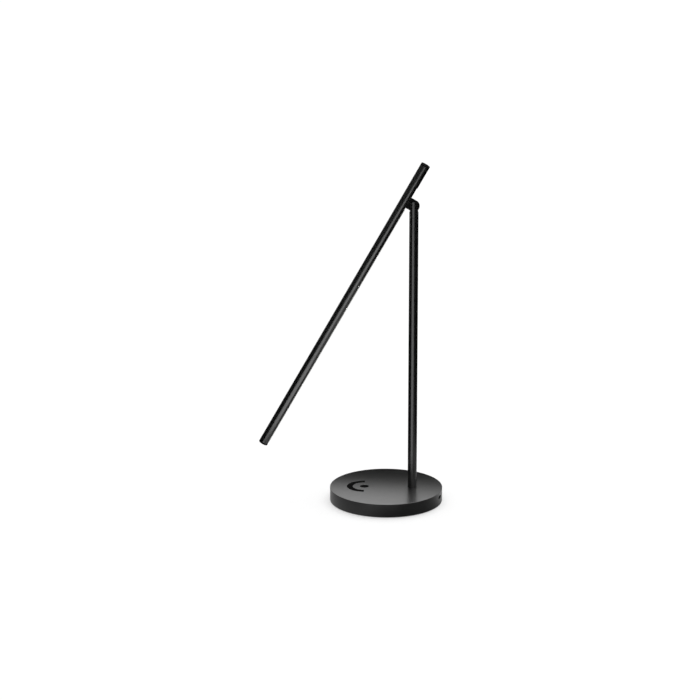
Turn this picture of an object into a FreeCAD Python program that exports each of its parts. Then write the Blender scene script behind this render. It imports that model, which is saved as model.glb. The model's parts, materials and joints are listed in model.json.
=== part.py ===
import FreeCAD, Part
import math
import os
import re
import Sketcher
from FreeCAD import Placement, Rotation, Vector

# A desk lamp: a round weighted base, a slim post on it and a light bar hinged at the post's top.
# Millimetres, +Z up. The origin is the middle of the foot pad's underside, the post stands
# towards +X and the light bar leans towards -X.

# Driving sizes: name, number, meaning.
SIZES = [
    # Base shell
    ("base_dia", 150.0, "outside diameter of the base"),
    ("base_height", 18.6, "table to the top face of the base"),
    ("rim_radius", 0.4, "rounding of the base's upper edge"),
    ("cover_wall", 2.4, "side wall of the cover"),
    ("cover_roof", 2.0, "roof of the cover"),
    ("foot_gap", 0.8, "table to the lower edge of the cover"),
    ("plate_thick", 3.0, "base plate"),
    ("plate_gap", 0.15, "play between base plate and cover wall"),
    ("pad_inset", 10.0, "foot pad's edge from the base's edge"),
    ("pad_thick", 1.6, "foot pad"),
    ("pad_gap", 0.1, "play of the pad in its recess"),
    # Clearances
    ("fit_gap", 0.03, "radial clearance of a fixed fit"),
    ("running_gap", 0.05, "clearance of a running fit"),
    ("clear_gap", 0.3, "room between pieces that pass each other"),
    ("hole_gap", 0.2, "radial clearance of a screw's through hole"),
    # Fasteners of the base
    ("screw_inset", 16.0, "base screws from the base's edge"),
    ("base_screw_dia", 3.0, "base screw shank"),
    ("base_screw_length", 7.5, "base screw shank under the head"),
    ("base_head_dia", 5.6, "base screw head"),
    ("base_head_height", 1.1, "base screw head"),
    ("screw_boss_dia", 7.0, "boss of a base screw"),
    ("board_screw_dia", 2.0, "board screw shank"),
    ("board_screw_length", 4.0, "board screw shank under the head"),
    ("board_head_dia", 3.6, "board screw head"),
    ("board_head_height", 0.9, "board screw head"),
    ("board_boss_dia", 4.6, "boss of a board screw"),
    # Control
    ("control_inset", 45.9, "control's centre from the base's edge"),
    ("arc_outer", 23.3, "outer radius of the half-ring"),
    ("arc_inner", 17.0, "inner radius of the half-ring"),
    ("arc_lip", 1.5, "lip of the half-ring window under the roof"),
    ("arc_lip_thick", 1.0, "lip of the half-ring window under the roof"),
    ("inlay_sink", 0.1, "control marks below the base's top face"),
    ("key_dia", 11.4, "power key"),
    ("key_flange", 1.4, "flange of the key under the roof"),
    ("flange_thick", 0.9, "flange of the key under the roof"),
    ("key_dish", 0.35, "hollow in the key's top"),
    ("key_travel", 0.5, "stroke of the key"),
    ("switch_side", 6.0, "switch body"),
    ("switch_height", 1.4, "switch body"),
    ("plunger_dia", 3.0, "switch plunger"),
    ("board_thick", 1.6, "control board"),
    ("board_margin", 3.5, "control board beyond its screw circle"),
    ("board_reach", 11.0, "control board's straight edge from the key's axis"),
    ("touch_slit", 1.2, "slit between two touch pads"),
    ("touch_chip_side", 4.0, "touch chip"),
    ("touch_chip_height", 0.8, "touch chip"),
    ("touch_chip_reach", 12.0, "touch chip from the control's centre"),
    # Inlet
    ("inlet_drop", 7.1, "inlet axis below the base's top face"),
    ("inlet_swing", 16.0, "inlet's turn from +X towards -Y, degrees"),
    ("inlet_open_width", 10.4, "opening in the cover wall"),
    ("inlet_open_height", 4.4, "opening in the cover wall"),
    ("inlet_setback", 0.8, "shell's mouth behind the cover's outside"),
    ("shell_width", 8.94, "inlet shell"),
    ("shell_height", 3.26, "inlet shell"),
    ("shell_wall", 0.3, "inlet shell"),
    ("shell_depth", 7.4, "inlet shell"),
    ("tongue_width", 6.7, "contact tongue"),
    ("tongue_thick", 0.7, "contact tongue"),
    ("tongue_length", 4.4, "contact tongue"),
    ("insert_depth", 2.2, "insulator at the back of the shell"),
    ("inlet_board_length", 22.0, "inlet board"),
    ("inlet_board_width", 20.0, "inlet board"),
    ("inlet_board_thick", 1.2, "inlet board"),
    ("inlet_screw_inset", 3.5, "inlet board screws from the board's edges"),
    ("coil_side", 6.0, "driver coil"),
    ("coil_height", 3.0, "driver coil"),
    ("driver_chip_side", 4.0, "driver chip"),
    ("driver_chip_height", 1.0, "driver chip"),
    ("capacitor_dia", 5.0, "driver capacitor"),
    ("capacitor_height", 4.4, "driver capacitor"),
    ("driver_spacing", 4.6, "coil and driver chip from the inlet's axis"),
    ("board_lead_dia", 1.6, "lead between the boards"),
    # Post
    ("post_inset", 40.2, "post's axis from the base's edge"),
    ("post_dia", 12.0, "post"),
    ("post_wall", 1.5, "post"),
    ("post_seat", 1.0, "post sunk into the cover"),
    ("pivot_height", 403.0, "table to the hinge axis"),
    ("boss_dia", 24.0, "post boss under the cover's roof"),
    ("stud_dia", 8.0, "threaded stud at the post's foot"),
    ("stud_bore", 4.5, "lead passage in the stud"),
    ("stud_grip", 16.0, "stud inside the post"),
    ("stud_reach", 0.5, "stud beyond the nut"),
    ("nut_width", 13.0, "nut across its flats"),
    ("nut_height", 2.8, "nut"),
    ("washer_dia", 17.0, "washer under the post boss"),
    ("washer_thick", 1.0, "washer under the post boss"),
    ("lead_room", 3.4, "stud's end above the base plate"),
    ("post_lead_dia", 2.2, "lead in the post"),
    ("post_lead_bend", 3.0, "lead's bending radius in the base"),
    # Hinge
    ("lug_radius", 7.4, "round end and half width of the lug"),
    ("lug_thick", 4.0, "lug"),
    ("friction_dia", 10.4, "friction washer"),
    ("friction_thick", 0.4, "friction washer"),
    ("floor_gap", 0.6, "lug's round end to the floor of the fork's slot"),
    ("fork_drop", 15.0, "hinge axis to the fork's shoulder"),
    ("spigot_length", 16.0, "fork inside the post"),
    ("pin_dia", 4.0, "hinge screw in the lug"),
    ("thread_dia", 3.0, "hinge screw in the front ear"),
    ("thread_length", 2.0, "hinge screw in the front ear"),
    ("ear_web", 1.0, "rear ear under the screw head"),
    ("head_dia", 6.0, "hinge screw head"),
    ("head_height", 1.4, "hinge screw head"),
    ("socket_width", 2.0, "hex sockets across their flats"),
    ("socket_depth", 0.9, "hex sockets"),
    # Light bar
    ("bar_tilt", 29.4, "bar from upright, degrees"),
    ("bar_dia", 12.5, "light bar"),
    ("fold_gap", 1.55, "bar to post when folded"),
    ("tip_gap", 2.7, "bar's tip above the base when folded"),
    ("bar_up", 55.2, "bar beyond the hinge"),
    ("bar_wall", 1.3, "bar tube"),
    ("bar_slot", 6.4, "slot along the bar's underside"),
    ("web_thick", 1.2, "web that carries the LED board"),
    ("web_drop", 1.0, "web's face behind the bar's axis"),
    ("cap_thick", 2.6, "bar's end caps"),
    ("cap_edge", 0.5, "bevel of the end caps"),
    ("cap_crown", 0.3, "crown of the end caps"),
    ("cap_plug", 5.0, "end cap inside the bar"),
    ("foot_lip", 1.0, "lug's foot behind the slot's edge"),
    ("wing_short", 4.0, "lug's foot below the lug"),
    ("wing_long", 15.0, "lug's foot above the lug"),
    ("grub_dia", 3.0, "grub screw"),
    ("grub_pitch", 7.0, "between the two grub screws"),
    ("grub_sink", 0.3, "grub screw below the foot's land"),
    ("strip_skin", 1.3, "outer skin of the slot strips"),
    ("strip_leg", 1.0, "legs of the slot strips"),
    ("strip_lip", 0.8, "lips of the slot strips"),
    ("strip_lip_thick", 0.9, "lips of the slot strips"),
    ("strip_gap", 0.1, "play at the slot strips' ends"),
    ("led_board_width", 6.0, "LED board"),
    ("led_board_thick", 1.0, "LED board"),
    ("led_board_inset", 1.0, "LED board from the tip cap and the lug's foot"),
    ("led_pitch", 8.0, "between two LEDs"),
    ("led_length", 3.5, "LED along the bar"),
    ("led_width", 2.8, "LED across the bar"),
    ("led_height", 0.7, "LED"),
    ("led_margin", 10.0, "first and last LED from the board's ends"),
    ("bar_lead_dia", 1.6, "lead in the lug"),
    ("bar_lead_shift", 5.0, "lead's passage below the hinge axis"),
    ("bar_lead_bend", 1.8, "lead's bending radius in the bar"),
    ("bar_lead_tail", 6.0, "lead on the LED board"),
]

# Places that follow from the sizes: name, formula.
PLACES = [
    ("base_radius", "base_dia / 2"),
    ("cover_inside", "base_radius - cover_wall"),
    ("roof_under", "base_height - cover_roof"),
    ("plate_top", "foot_gap + plate_thick"),
    ("plate_radius", "cover_inside - plate_gap"),
    ("pad_radius", "base_radius - pad_inset"),
    ("screw_ring", "base_radius - screw_inset"),
    ("head_seat", "pad_thick + base_head_height + clear_gap"),
    ("control_x", "control_inset - base_radius"),
    ("post_reach", "base_radius - post_inset"),
    ("key_hole", "key_dia / 2 + clear_gap"),
    ("flange_under", "roof_under - clear_gap - flange_thick"),
    ("switch_top", "flange_under - key_travel - clear_gap"),
    ("board_top", "switch_top - switch_height"),
    ("board_under", "board_top - board_thick"),
    ("board_screw_ring", "arc_outer + arc_lip + board_boss_dia / 2 + clear_gap"),
    ("board_radius", "board_screw_ring + board_margin"),
    ("arc_under", "roof_under - arc_lip_thick"),
    ("inlet_z", "base_height - inlet_drop"),
    ("inlet_front", "base_radius - inlet_setback"),
    ("inlet_board_top", "inlet_z - shell_height / 2"),
    ("inlet_board_under", "inlet_board_top - inlet_board_thick"),
    ("inlet_board_front", "cover_inside - clear_gap"),
    ("inlet_board_back", "inlet_board_front - inlet_board_length"),
    ("inlet_screw_x", "inlet_board_back + inlet_screw_inset"),
    ("inlet_screw_y", "inlet_board_width / 2 - inlet_screw_inset"),
    ("driver_x", "inlet_front - shell_depth - clear_gap - coil_side / 2"),
    ("capacitor_x", "driver_x - coil_side / 2 - capacitor_dia / 2"),
    ("ballast_radius", "cover_inside - clear_gap"),
    ("stud_end", "plate_top + lead_room"),
    ("nut_under", "stud_end + stud_reach"),
    ("nut_top", "nut_under + nut_height"),
    ("boss_under", "nut_top + washer_thick"),
    ("board_room", "inlet_board_under - board_head_height - clear_gap"),
    ("ballast_top", "min(board_room; nut_top - clear_gap)"),
    ("post_foot", "base_height - post_seat"),
    ("post_bore", "post_dia / 2 - post_wall"),
    ("post_top", "pivot_height - fork_drop"),
    ("lead_run", "plate_top + clear_gap + post_lead_dia / 2"),
    ("lead_end", "control_x + board_reach / 2"),
    ("lead_bend_z", "lead_run + post_lead_bend"),
    ("wire_bed", "max(ballast_top; lead_run + post_lead_dia / 2 + clear_gap)"),
    ("slot_half", "lug_thick / 2 + running_gap + friction_thick"),
    ("slot_floor", "lug_radius + floor_gap"),
    ("head_under", "slot_half + ear_web"),
    ("bar_radius", "bar_dia / 2"),
    ("bar_bore", "bar_radius - bar_wall"),
    ("bar_offset", "post_dia / 2 + bar_radius + fold_gap"),
    ("bar_x", "-bar_offset"),
    ("bar_down", "pivot_height - base_height - tip_gap"),
    ("tube_low", "cap_thick - bar_down"),
    ("tube_high", "bar_up - cap_thick"),
    ("web_face", "bar_x - web_drop"),
    ("web_back", "web_face - web_thick"),
    ("foot_low", "-lug_radius - wing_short"),
    ("foot_high", "lug_radius + wing_long"),
    ("foot_half", "bar_slot / 2 + foot_lip"),
    ("foot_shoulder", "bar_x + sqrt(bar_bore ^ 2 - foot_half ^ 2) - fit_gap"),
    ("slot_land", "bar_x + sqrt(bar_radius ^ 2 - bar_slot ^ 2 / 4)"),
    ("grub_z", "lug_radius + (wing_long - grub_pitch) / 2"),
    ("strip_half", "bar_slot / 2 - fit_gap"),
    ("strip_lip_half", "bar_slot / 2 + strip_lip"),
    ("strip_shoulder", "bar_x + sqrt(bar_bore ^ 2 - strip_lip_half ^ 2) - fit_gap"),
    ("strip_under", "strip_shoulder - strip_lip_thick"),
    ("led_face", "web_face + led_board_thick"),
    ("led_low", "tube_low + led_board_inset"),
    ("led_high", "foot_low - led_board_inset"),
    ("bar_lead_x", "led_face + bar_lead_dia / 2 + running_gap"),
    ("bar_lead_hole", "bar_lead_dia / 2 + clear_gap"),
    ("bar_bend_x", "bar_lead_x + bar_lead_bend"),
    ("bar_bend_z", "-bar_lead_shift - bar_lead_bend"),
]

TOUCH_PADS = 5
BASE_SCREWS = 4
FIRST_SCREW_ANGLE = 45
BOARD_SCREW_ANGLES = (105, 180, 255)
# How Sketcher counts the points of a line or an arc, from 1
START, END, CENTRE = range(1, 4)
# Lengths that differ by less are the same
SAME = 1e-6
UP = Vector(0, 0, 1)
BAR_AXIS = Vector(0, 1, 0)
LYING = {
    "X": Rotation(Vector(0, 1, 0), 90),
    "Y": Rotation(Vector(1, 0, 0), -90),
    "Z": Rotation(),
}

doc = FreeCAD.newDocument("desk_lamp")
sizes = doc.addObject("Spreadsheet::Sheet", "Sizes")
places = doc.addObject("Spreadsheet::Sheet", "Places")
sheet_of = {}
nodes = []


# Sheets and formulas

def formula(text):
    """The text with each size and place written with its sheet's name."""
    def with_sheet(match):
        word = match.group(0)
        return sheet_of[word] + "." + word if word in sheet_of else word
    return re.sub(r"[a-z_]+", with_sheet, text)


def value(text):
    """The number that a formula comes to."""
    return float(sizes.evalExpression(formula(text)))


def bind(obj, **formulas):
    """Tie properties of obj to formulas of the sheets."""
    for name, text in formulas.items():
        obj.setExpression(name, formula(text))
    return obj


def fill_sheets():
    for row, (name, number, note) in enumerate(SIZES, 1):
        sizes.set("A%d" % row, name)
        sizes.set("B%d" % row, str(number))
        sizes.setAlias("B%d" % row, name)
        sizes.set("C%d" % row, note)
        sheet_of[name] = "Sizes"
    doc.recompute()
    for row, (name, text) in enumerate(PLACES, 1):
        places.set("A%d" % row, name)
        places.set("B%d" % row, "=" + formula(text))
        places.setAlias("B%d" % row, name)
        sheet_of[name] = "Places"
    doc.recompute()


def place(obj, x="0", y="0", z="0", turn=None, angle="0"):
    """Put obj at x, y, z, turned about the axis turn by angle, all tied to the sheets."""
    rotation = Rotation(turn, value(angle)) if turn else obj.Placement.Rotation
    obj.Placement = Placement(Vector(value(x), value(y), value(z)), rotation)
    for axis, text in (("x", x), ("y", y), ("z", z)):
        if text != "0":
            obj.setExpression("Placement.Base." + axis, formula(text))
    if turn:
        obj.setExpression("Placement.Rotation.Angle", formula(angle))
    return obj


def node(obj, name):
    """Name a finished sub-part."""
    obj.Label = name
    nodes.append(obj)
    return obj


def on_bar(obj):
    """Move a piece from the hinge's own frame to the leaning bar."""
    return place(obj, x="post_reach", z="pivot_height", turn=BAR_AXIS, angle="bar_tilt")


def on_inlet(obj):
    """Turn a piece that points along +X to the inlet's direction."""
    return place(obj, turn=-UP, angle="inlet_swing")


def both_ways(half):
    return ("-(" + half + ")", half)


# Primitives and booleans

def cylinder(name, radius, length, x="0", y="0", z="0", along="Z"):
    obj = bind(doc.addObject("Part::Cylinder", name), Radius=radius, Height=length)
    obj.Placement = Placement(Vector(), LYING[along])
    return place(obj, x, y, z)


def box(name, xs, ys, zs):
    """A box between pairs of formulas along X, Y and Z."""
    obj = doc.addObject("Part::Box", name)
    spans = {"Length": xs, "Width": ys, "Height": zs}
    bind(obj, **{side: "(%s) - (%s)" % (high, low) for side, (low, high) in spans.items()})
    return place(obj, xs[0], ys[0], zs[0])


def hexagon(name, width, length, x="0", y="0", z="0", along="Z"):
    """A six-sided prism of a width across its flats."""
    obj = bind(doc.addObject("Part::Prism", name), Circumradius=width + " / sqrt(3)", Height=length)
    obj.Polygon = 6
    obj.Placement = Placement(Vector(), LYING[along])
    return place(obj, x, y, z)


def fuse(name, *pieces):
    obj = doc.addObject("Part::MultiFuse", name)
    obj.Shapes = list(pieces)
    return obj


def cut(name, base, *tools):
    obj = doc.addObject("Part::Cut", name)
    obj.Base = base
    obj.Tool = tools[0] if len(tools) == 1 else fuse(name + "_tools", *tools)
    return obj


def common(name, first, second):
    obj = doc.addObject("Part::Common", name)
    obj.Base = first
    obj.Tool = second
    return obj


def group(name, *solids):
    """Separate solids kept together."""
    obj = doc.addObject("Part::Compound", name)
    obj.Links = list(solids)
    return obj


def obround(name, width, height, x_from, x_to, z):
    """A lying bar along X with half-round sides, centred on Y = 0."""
    reach = "(%s - %s) / 2" % (width, height)
    length = "(%s) - (%s)" % (x_to, x_from)
    half = height + " / 2"
    sides = [cylinder(name + "_side", half, length, x_from, y, z, "X") for y in both_ways(reach)]
    zs = ("(%s) - %s" % (z, half), "(%s) + %s" % (z, half))
    return fuse(name, box(name + "_middle", (x_from, x_to), both_ways(reach), zs), *sides)


# Bodies, sketches and features

def new_body(name):
    return doc.addObject("PartDesign::Body", name)


def origin_feature(part, role):
    return next(item for item in part.Origin.OriginFeatures if item.Role == role)


def sketch_on(part, plane, lift="0", turn=None, angle="0"):
    """A sketch on one of the body's planes, lifted off it and turned in it."""
    sketch = part.newObject("Sketcher::SketchObject", part.Name + "_sketch")
    sketch.AttachmentSupport = [(origin_feature(part, plane), "")]
    sketch.MapMode = "FlatFace"
    rotation = Rotation(turn, value(angle)) if turn else Rotation()
    sketch.AttachmentOffset = Placement(Vector(0, 0, value(lift)), rotation)
    sketch.setExpression("AttachmentOffset.Base.z", formula(lift))
    if turn:
        sketch.setExpression("AttachmentOffset.Rotation.Angle", formula(angle))
    return sketch


def fix_point(sketch, geometry, end, x, y):
    """Tie a point of the sketch to the formulas x and y."""
    for kind, axis, text in (("DistanceX", -2, x), ("DistanceY", -1, y)):
        if text == "0":
            sketch.addConstraint(Sketcher.Constraint("PointOnObject", geometry, end, axis))
        else:
            rule = Sketcher.Constraint(kind, -1, 1, geometry, end, value(text))
            index = sketch.addConstraint(rule)
            sketch.setExpression("Constraints[%d]" % index, formula(text))


def fix_radius(sketch, geometry, radius):
    index = sketch.addConstraint(Sketcher.Constraint("Radius", geometry, value(radius)))
    sketch.setExpression("Constraints[%d]" % index, formula(radius))


def polygon(sketch, *corners):
    """A closed outline through corners given as pairs of formulas."""
    points = [Vector(value(x), value(y), 0) for x, y in corners]
    first = sketch.GeometryCount
    count = len(points)
    for index in range(count):
        sketch.addGeometry(Part.LineSegment(points[index], points[(index + 1) % count]))
    for index in range(count):
        following = first + (index + 1) % count
        join = ("Coincident", first + index, END, following, START)
        sketch.addConstraint(Sketcher.Constraint(*join))
    for index, (x, y) in enumerate(corners):
        fix_point(sketch, first + index, START, x, y)


def circle(sketch, radius, x="0", y="0"):
    centre = Vector(value(x), value(y), 0)
    index = sketch.addGeometry(Part.Circle(centre, UP, value(radius)))
    fix_point(sketch, index, CENTRE, x, y)
    fix_radius(sketch, index, radius)


def half_ring(sketch, inner, outer, x):
    """A half ring that bulges towards -X about the point x on the X axis."""
    centre = Vector(value(x), 0, 0)
    arcs = []
    for radius in (outer, inner):
        ring = Part.Circle(centre, UP, value(radius))
        arcs.append(sketch.addGeometry(Part.ArcOfCircle(ring, math.pi / 2, 3 * math.pi / 2)))
        fix_point(sketch, arcs[-1], CENTRE, x, "0")
        fix_radius(sketch, arcs[-1], radius)
    tips = (START, END)
    for end in tips:
        ends = [sketch.getPoint(arc, end) for arc in arcs]
        line = sketch.addGeometry(Part.LineSegment(*ends))
        for arc, line_end in zip(arcs, tips):
            sketch.addConstraint(Sketcher.Constraint("Coincident", arc, end, line, line_end))
            sketch.addConstraint(Sketcher.Constraint("Vertical", arc, end, arc, CENTRE))


def pad(part, sketch, length, down=False):
    feature = bind(part.newObject("PartDesign::Pad", part.Name + "_pad"), Length=length)
    feature.Profile = sketch
    feature.Reversed = down
    doc.recompute()
    return feature


def pocket(part, sketch, depth=None, up=False):
    """Cut the sketch into the body, through all of it where no depth is given."""
    before = part.Shape.Volume
    feature = part.newObject("PartDesign::Pocket", part.Name + "_pocket")
    feature.Profile = sketch
    feature.Reversed = up
    if depth:
        bind(feature, Length=depth)
    else:
        feature.Type = "ThroughAll"
    doc.recompute()
    if part.Shape.Volume >= before:
        raise RuntimeError("a pocket of %s cuts nothing" % part.Label)
    return feature


def revolve(part, *corners):
    """Turn an outline of radius and height about the body's Z axis."""
    sketch = sketch_on(part, "XZ_Plane")
    polygon(sketch, *corners)
    feature = part.newObject("PartDesign::Revolution", part.Name + "_turn")
    feature.Profile = sketch
    feature.ReferenceAxis = (sketch, ["V_Axis"])
    feature.Angle = 360
    doc.recompute()
    return feature


def repeat_around(part, count, *features):
    pattern = part.newObject("PartDesign::PolarPattern", part.Name + "_pattern")
    pattern.Originals = list(features)
    pattern.Axis = (origin_feature(part, "Z_Axis"), [""])
    pattern.Angle = 360
    pattern.Occurrences = count
    part.Tip = pattern
    doc.recompute()
    return pattern


def round_edges(part, radius, wanted):
    """Round the body's edges that the function wanted picks."""
    doc.recompute()
    edges = enumerate(part.Shape.Edges, 1)
    names = ["Edge%d" % index for index, edge in edges if wanted(edge)]
    carrier = part.Tip
    feature = part.newObject("PartDesign::Fillet", part.Name + "_round")
    feature.Base = (carrier, names)
    bind(feature, Radius=radius)
    doc.recompute()
    return feature


def is_circle_at(edge, radius, height):
    curve = edge.Curve
    if not isinstance(curve, Part.Circle):
        return False
    return abs(curve.Radius - value(radius)) < SAME and abs(curve.Center.z - value(height)) < SAME


# Base shell

def screw_spot(index):
    """Centre of a base screw."""
    angle = FIRST_SCREW_ANGLE + index * 360 / BASE_SCREWS
    return ("screw_ring * cos(%g)" % angle, "screw_ring * sin(%g)" % angle)


def boss_spots():
    """Centres of the control board's screws."""
    ring = "board_screw_ring"
    return [("control_x + %s * cos(%d)" % (ring, a), "%s * sin(%d)" % (ring, a) if a != 180 else "0")
            for a in BOARD_SCREW_ANGLES]


def inlet_spots():
    """Centres of the inlet board's screws, before the inlet's turn."""
    return [("inlet_screw_x", y) for y in both_ways("inlet_screw_y")]


def board_bosses(part, spots, bottom, turn=None, angle="0"):
    """Bosses from the cover's roof down to a board, with their screw holes."""
    outline = sketch_on(part, "XY_Plane", "roof_under", turn, angle)
    for x, y in spots:
        circle(outline, "board_boss_dia / 2", x, y)
    pad(part, outline, "roof_under - (%s)" % bottom, down=True)
    holes = sketch_on(part, "XY_Plane", bottom, turn, angle)
    for x, y in spots:
        circle(holes, "board_screw_dia / 2 + fit_gap", x, y)
    pocket(part, holes, "board_screw_length", up=True)


def base_cover():
    part = new_body("cover")
    revolve(part,
            ("0", "base_height"), ("base_radius", "base_height"), ("base_radius", "foot_gap"),
            ("cover_inside", "foot_gap"), ("cover_inside", "roof_under"), ("0", "roof_under"))
    round_edges(part, "rim_radius", lambda edge: is_circle_at(edge, "base_radius", "base_height"))
    screw_boss = sketch_on(part, "XY_Plane", "roof_under")
    circle(screw_boss, "screw_boss_dia / 2", *screw_spot(0))
    boss = pad(part, screw_boss, "roof_under - plate_top", down=True)
    screw_hole = sketch_on(part, "XY_Plane", "plate_top")
    circle(screw_hole, "base_screw_dia / 2 + fit_gap", *screw_spot(0))
    hole = pocket(part, screw_hole, "base_screw_length", up=True)
    repeat_around(part, BASE_SCREWS, boss, hole)
    board_bosses(part, boss_spots(), "board_top")
    board_bosses(part, inlet_spots(), "inlet_board_top", -UP, "inlet_swing")
    post_boss = sketch_on(part, "XY_Plane", "roof_under")
    circle(post_boss, "boss_dia / 2", "post_reach")
    pad(part, post_boss, "roof_under - boss_under", down=True)
    seat = sketch_on(part, "XY_Plane", "base_height")
    circle(seat, "post_dia / 2 + fit_gap", "post_reach")
    pocket(part, seat, "post_seat")
    stud_hole = sketch_on(part, "XY_Plane", "base_height")
    circle(stud_hole, "stud_dia / 2 + fit_gap", "post_reach")
    pocket(part, stud_hole)
    marks = sketch_on(part, "XY_Plane", "base_height")
    half_ring(marks, "arc_inner", "arc_outer", "control_x")
    circle(marks, "key_hole", "control_x")
    pocket(part, marks, "cover_roof")
    mouth = obround("inlet_mouth", "inlet_open_width", "inlet_open_height",
                    "cover_inside - clear_gap", "base_radius + clear_gap", "inlet_z")
    node(cut("cover_cut", part, on_inlet(mouth)), "base_cover")


def base_plate():
    part = new_body("plate")
    recess = "pad_radius + pad_gap"
    revolve(part,
            ("0", "pad_thick"), (recess, "pad_thick"), (recess, "foot_gap"),
            ("plate_radius", "foot_gap"), ("plate_radius", "plate_top"), ("0", "plate_top"))
    through = sketch_on(part, "XY_Plane", "plate_top")
    circle(through, "base_screw_dia / 2 + hole_gap", *screw_spot(0))
    hole = pocket(part, through)
    head = sketch_on(part, "XY_Plane", "pad_thick")
    circle(head, "base_head_dia / 2 + hole_gap", *screw_spot(0))
    seat = pocket(part, head, "head_seat - pad_thick", up=True)
    repeat_around(part, BASE_SCREWS, hole, seat)
    node(part, "base_plate")


def foot_pad():
    node(cylinder("pad", "pad_radius", "pad_thick"), "foot_pad")


def base_screws():
    screws = []
    shank_length = "plate_top - head_seat + base_screw_length - clear_gap"
    for index in range(BASE_SCREWS):
        x, y = screw_spot(index)
        head = cylinder("base_head", "base_head_dia / 2", "base_head_height",
                        x, y, "head_seat - base_head_height")
        shank = cylinder("base_shank", "base_screw_dia / 2", shank_length, x, y, "head_seat")
        screws.append(fuse("base_screw", head, shank))
    node(group("base_screw_set", *screws), "base_screws")


def ballast_plate():
    part = new_body("ballast")
    outline = sketch_on(part, "XY_Plane", "plate_top")
    circle(outline, "ballast_radius")
    pad(part, outline, "ballast_top - plate_top")
    boss_hole = sketch_on(part, "XY_Plane", "ballast_top")
    circle(boss_hole, "screw_boss_dia / 2 + clear_gap", *screw_spot(0))
    hole = pocket(part, boss_hole)
    repeat_around(part, BASE_SCREWS, hole)
    well = sketch_on(part, "XY_Plane", "ballast_top")
    circle(well, "nut_width / sqrt(3) + 2 * clear_gap", "post_reach")
    pocket(part, well)
    channel = sketch_on(part, "XY_Plane", "ballast_top")
    side = "post_lead_dia / 2 + clear_gap"
    start = "lead_end - (%s)" % side
    polygon(channel, (start, "-(%s)" % side), ("post_reach", "-(%s)" % side),
            ("post_reach", side), (start, side))
    pocket(part, channel)
    node(part, "ballast_plate")


# Control

def dimmer_arc():
    part = new_body("arc")
    window = sketch_on(part, "XY_Plane", "roof_under")
    half_ring(window, "arc_inner + fit_gap", "arc_outer - fit_gap", "control_x")
    pad(part, window, "cover_roof - inlay_sink")
    lip = sketch_on(part, "XY_Plane", "roof_under")
    half_ring(lip, "arc_inner - arc_lip", "arc_outer + arc_lip", "control_x")
    pad(part, lip, "arc_lip_thick", down=True)
    node(part, "dimmer_arc")


def power_key():
    part = new_body("key")
    top = "base_height - inlay_sink"
    revolve(part,
            ("0", top + " - key_dish"), ("key_dia / 4", top + " - key_dish"), ("key_dia / 2", top),
            ("key_dia / 2", "roof_under - clear_gap"),
            ("key_dia / 2 + key_flange", "roof_under - clear_gap"),
            ("key_dia / 2 + key_flange", "flange_under"), ("0", "flange_under"))
    place(part, x="control_x")
    node(part, "power_key")
    plunger_foot = "board_top + key_travel + clear_gap"
    plunger = cylinder("plunger", "plunger_dia / 2", "flange_under - (%s)" % plunger_foot,
                       "control_x", "0", plunger_foot)
    node(plunger, "switch_plunger")


def tact_switch():
    half = "switch_side / 2"
    case = box("switch_case", ("control_x - " + half, "control_x + " + half), both_ways(half),
               ("board_top", "switch_top"))
    bore = cylinder("switch_bore", "plunger_dia / 2 + running_gap", "switch_height + clear_gap",
                    "control_x", "0", "board_top + clear_gap / 2")
    node(cut("switch", case, bore), "tact_switch")


def control_board():
    """Round board, cut straight on the side of the post."""
    part = new_body("board")
    outline = sketch_on(part, "XY_Plane", "board_under")
    circle(outline, "board_radius", "control_x")
    for x, y in boss_spots():
        circle(outline, "board_screw_dia / 2 + hole_gap", x, y)
    pad(part, outline, "board_thick")
    beyond = sketch_on(part, "XY_Plane", "board_top")
    edge = "control_x + board_reach"
    end = "control_x + board_radius + clear_gap"
    polygon(beyond, (edge, "-board_radius"), (end, "-board_radius"),
            (end, "board_radius"), (edge, "board_radius"))
    pocket(part, beyond)
    node(part, "control_board")
    half = "touch_chip_side / 2"
    chip = box("chip", ("control_x - " + half, "control_x + " + half),
               ("touch_chip_reach - " + half, "touch_chip_reach + " + half),
               ("board_under - touch_chip_height", "board_under"))
    node(chip, "touch_chip")


def touch_pads():
    """Conductive pads that stand on the board and press against the half-ring's lip."""
    pads = []
    step = 180 / TOUCH_PADS
    slit = "2 * asin(touch_slit / (arc_outer + arc_inner)) / 1 deg"
    height = "arc_under - board_top"
    hollow = cylinder("touch_hollow", "arc_inner", height, "control_x", "0", "board_top")
    for index in range(TOUCH_PADS):
        wedge = cylinder("touch_wedge", "arc_outer", height)
        bind(wedge, Angle="%g - %s" % (step, slit))
        start = "%g + %s / 2" % (90 + index * step, slit)
        place(wedge, "control_x", "0", "board_top", UP, start)
        pads.append(cut("touch_pad", wedge, hollow))
    node(group("touch_pad_set", *pads), "touch_pads")


def board_screws():
    """Screws of both boards, set from below."""
    def screw(x, y, board_bottom, board_height):
        head = cylinder("board_head", "board_head_dia / 2", "board_head_height",
                        x, y, "%s - board_head_height" % board_bottom)
        length = "%s + board_screw_length - clear_gap" % board_height
        shank = cylinder("board_shank", "board_screw_dia / 2", length, x, y, board_bottom)
        return fuse("board_screw", head, shank)

    control = [screw(x, y, "board_under", "board_thick") for x, y in boss_spots()]
    inlet = [on_inlet(screw(x, y, "inlet_board_under", "inlet_board_thick"))
             for x, y in inlet_spots()]
    node(group("board_screw_set", *control, *inlet), "board_screws")


# Inlet and driver

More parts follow.
